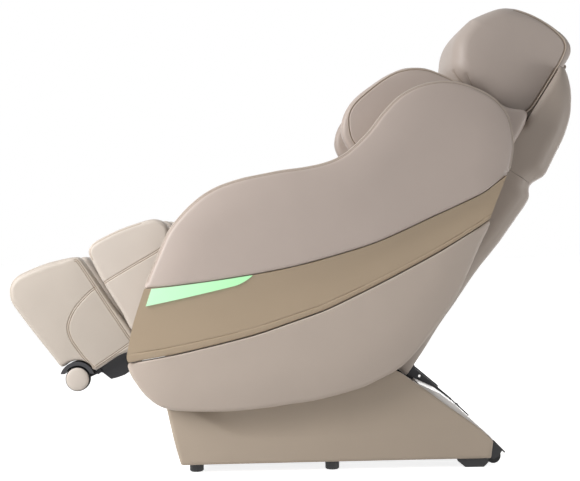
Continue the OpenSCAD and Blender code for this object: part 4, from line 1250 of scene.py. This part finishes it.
ROLL_OUT = span_of("foot_roller_left")[1]
roll_at = side_place("foot_roll_left")
tyre = turned_part("foot_roller_tyre_left", [
    (ROLL_OUT - 33, 22), (ROLL_OUT - 32, 29), (ROLL_OUT - 29, 31.6), (ROLL_OUT - 25, 32),
    (ROLL_OUT - 12, 32), (ROLL_OUT - 8, 31.7), (ROLL_OUT - 6.6, 31.2), (ROLL_OUT - 6.4, 30.6),
    (ROLL_OUT - 8, 30.2)], roll_at)
cap = turned_part("foot_roller_cap_left", [
    (ROLL_OUT - 12, 29.8), (ROLL_OUT - 6.4, 30.1), (ROLL_OUT - 4.6, 29.5), (ROLL_OUT - 3.4, 27.6),
    (ROLL_OUT - 2.4, 24), (ROLL_OUT - 1.6, 18), (ROLL_OUT - 1, 11), (ROLL_OUT - 0.7, 5),
    (ROLL_OUT - 0.6, 0.6)], roll_at)
for suffix, (ring, dome) in both_sides(tyre, cap):
    roller = f"foot_roller_{suffix}"
    place(ring, roller, RUBBER, (roller,))
    place(dome, roller, LEATHER)

# %% [markdown]
# ## Everything the frame already shapes right
# Steel tubes, plates, small mouldings and the wheels keep the shape they have in the
# model. They only get their finishes here.

# %% Finishes of the carried-over parts
FINISHES = {
    DARK_STEEL: ("base_frame", "glide_carriage", "seat_frame", "back_frame", "leg_frame",
                 "foot_frame"),
    BRIGHT_STEEL: ("glide_rails", "leg_actuator_rod", "back_actuator_rod"),
    COVER_PLASTIC: ("base_front_cover",),
    WHITE_PLASTIC: ("base_rear_cover",),
    BLACK_PLASTIC: ("base_feet", "wheel_forks", "power_panel", "power_switch", "control_pad",
                    "massage_arms"),
    GREY_PLASTIC: ("control_box", "air_pump", "leg_actuator", "back_actuator", "massage_chassis"),
    RUBBER: ("transport_wheel_left", "transport_wheel_right"),
    BROWN_RUBBER: ("massage_roller_upper_left", "massage_roller_upper_right",
                   "massage_roller_lower_left", "massage_roller_lower_right"),
}
for material, names in FINISHES.items():
    for name in names:
        node = frame["nodes"][name]
        for slot in node.material_slots:
            slot.material = material
print("finished", sum(len(names) for names in FINISHES.values()), "carried-over parts")

# %% [markdown]
# ## The studio
# The chair stands on a pale floor under soft light that comes from its front and above, so the
# shade deepens towards its rear. The floor and the world look white to the camera alone, and light
# the chair at a plain level.

# %% Floor and world


def studio_rays(tree):
    """1 for the rays that show the studio itself, straight, mirrored or through glass, else 0."""
    path = add(tree, "ShaderNodeLightPath")
    mirrored_too = add(tree, "ShaderNodeMath",
                       {0: path.outputs["Is Camera Ray"], 1: path.outputs["Is Glossy Ray"]},
                       operation="MAXIMUM")
    return add(tree, "ShaderNodeMath",
               {0: mirrored_too.outputs[0], 1: path.outputs["Is Transmission Ray"]},
               operation="MAXIMUM").outputs[0]


bpy.ops.mesh.primitive_plane_add(size=60, location=(0, 0, 0))
floor = made("floor")
paper = bpy.data.materials.new("Studio paper")
paper.use_nodes = True
tree = paper.node_tree
lift = add(tree, "ShaderNodeMath", {0: studio_rays(tree), 1: 0.83}, operation="MULTIPLY")
feed(tree.nodes["Principled BSDF"], {
    "Base Color": (0.78, 0.78, 0.78, 1), "Roughness": 0.9, "Emission Color": (1, 1, 1, 1),
    "Emission Strength": lift.outputs[0]})
floor.data.materials.append(paper)
floor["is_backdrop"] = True

world = bpy.data.worlds.new("Studio")
bpy.context.scene.world = world
world.use_nodes = True
tree = world.node_tree
strength = add(tree, "ShaderNodeMapRange", {0: studio_rays(tree), 3: 0.15, 4: 1.0})
feed(tree.nodes["Background"], {"Color": (1, 1, 1, 1), "Strength": strength.outputs[0]})

# %% Lights


def soft_light(name, place_at, look_at, size, watts, colour=(1, 1, 1)):
    aim = Vector(look_at) - Vector(place_at)
    bpy.ops.object.light_add(type="AREA", location=place_at,
                             rotation=aim.to_track_quat("-Z", "Y").to_euler())
    lamp = made(name)
    lamp.data.size = size
    lamp.data.energy = watts
    lamp.data.color = colour
    return lamp


soft_light("Key", (1.3, -1.9, 1.4), (0.2, -0.4, 0.5), 1.2, 51, (1, 0.985, 0.975))
soft_light("Fill", (3.0, -0.4, 1.0), (0.2, 0.0, 0.5), 2.0, 2.8, (1, 0.99, 0.99))
soft_light("Top", (0.2, -0.6, 2.6), (0.1, -0.1, 0.6), 1.8, 9)
soft_light("Rear", (1.0, 2.4, 0.3), (0.2, 0.4, 0.5), 1.2, 16)
soft_light("Far side", (-2.2, 1.5, 0.8), (-0.2, 0.3, 0.5), 1.6, 22)
bpy.context.scene.view_settings.view_transform = "Standard"

# %% Size
visual_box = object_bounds()
for axis, a, b, c, d in zip("XYZ", *cad_box, *visual_box):
    print(axis, "model", round(a, 3), round(b, 3), "dressed", round(c, 3), round(d, 3))
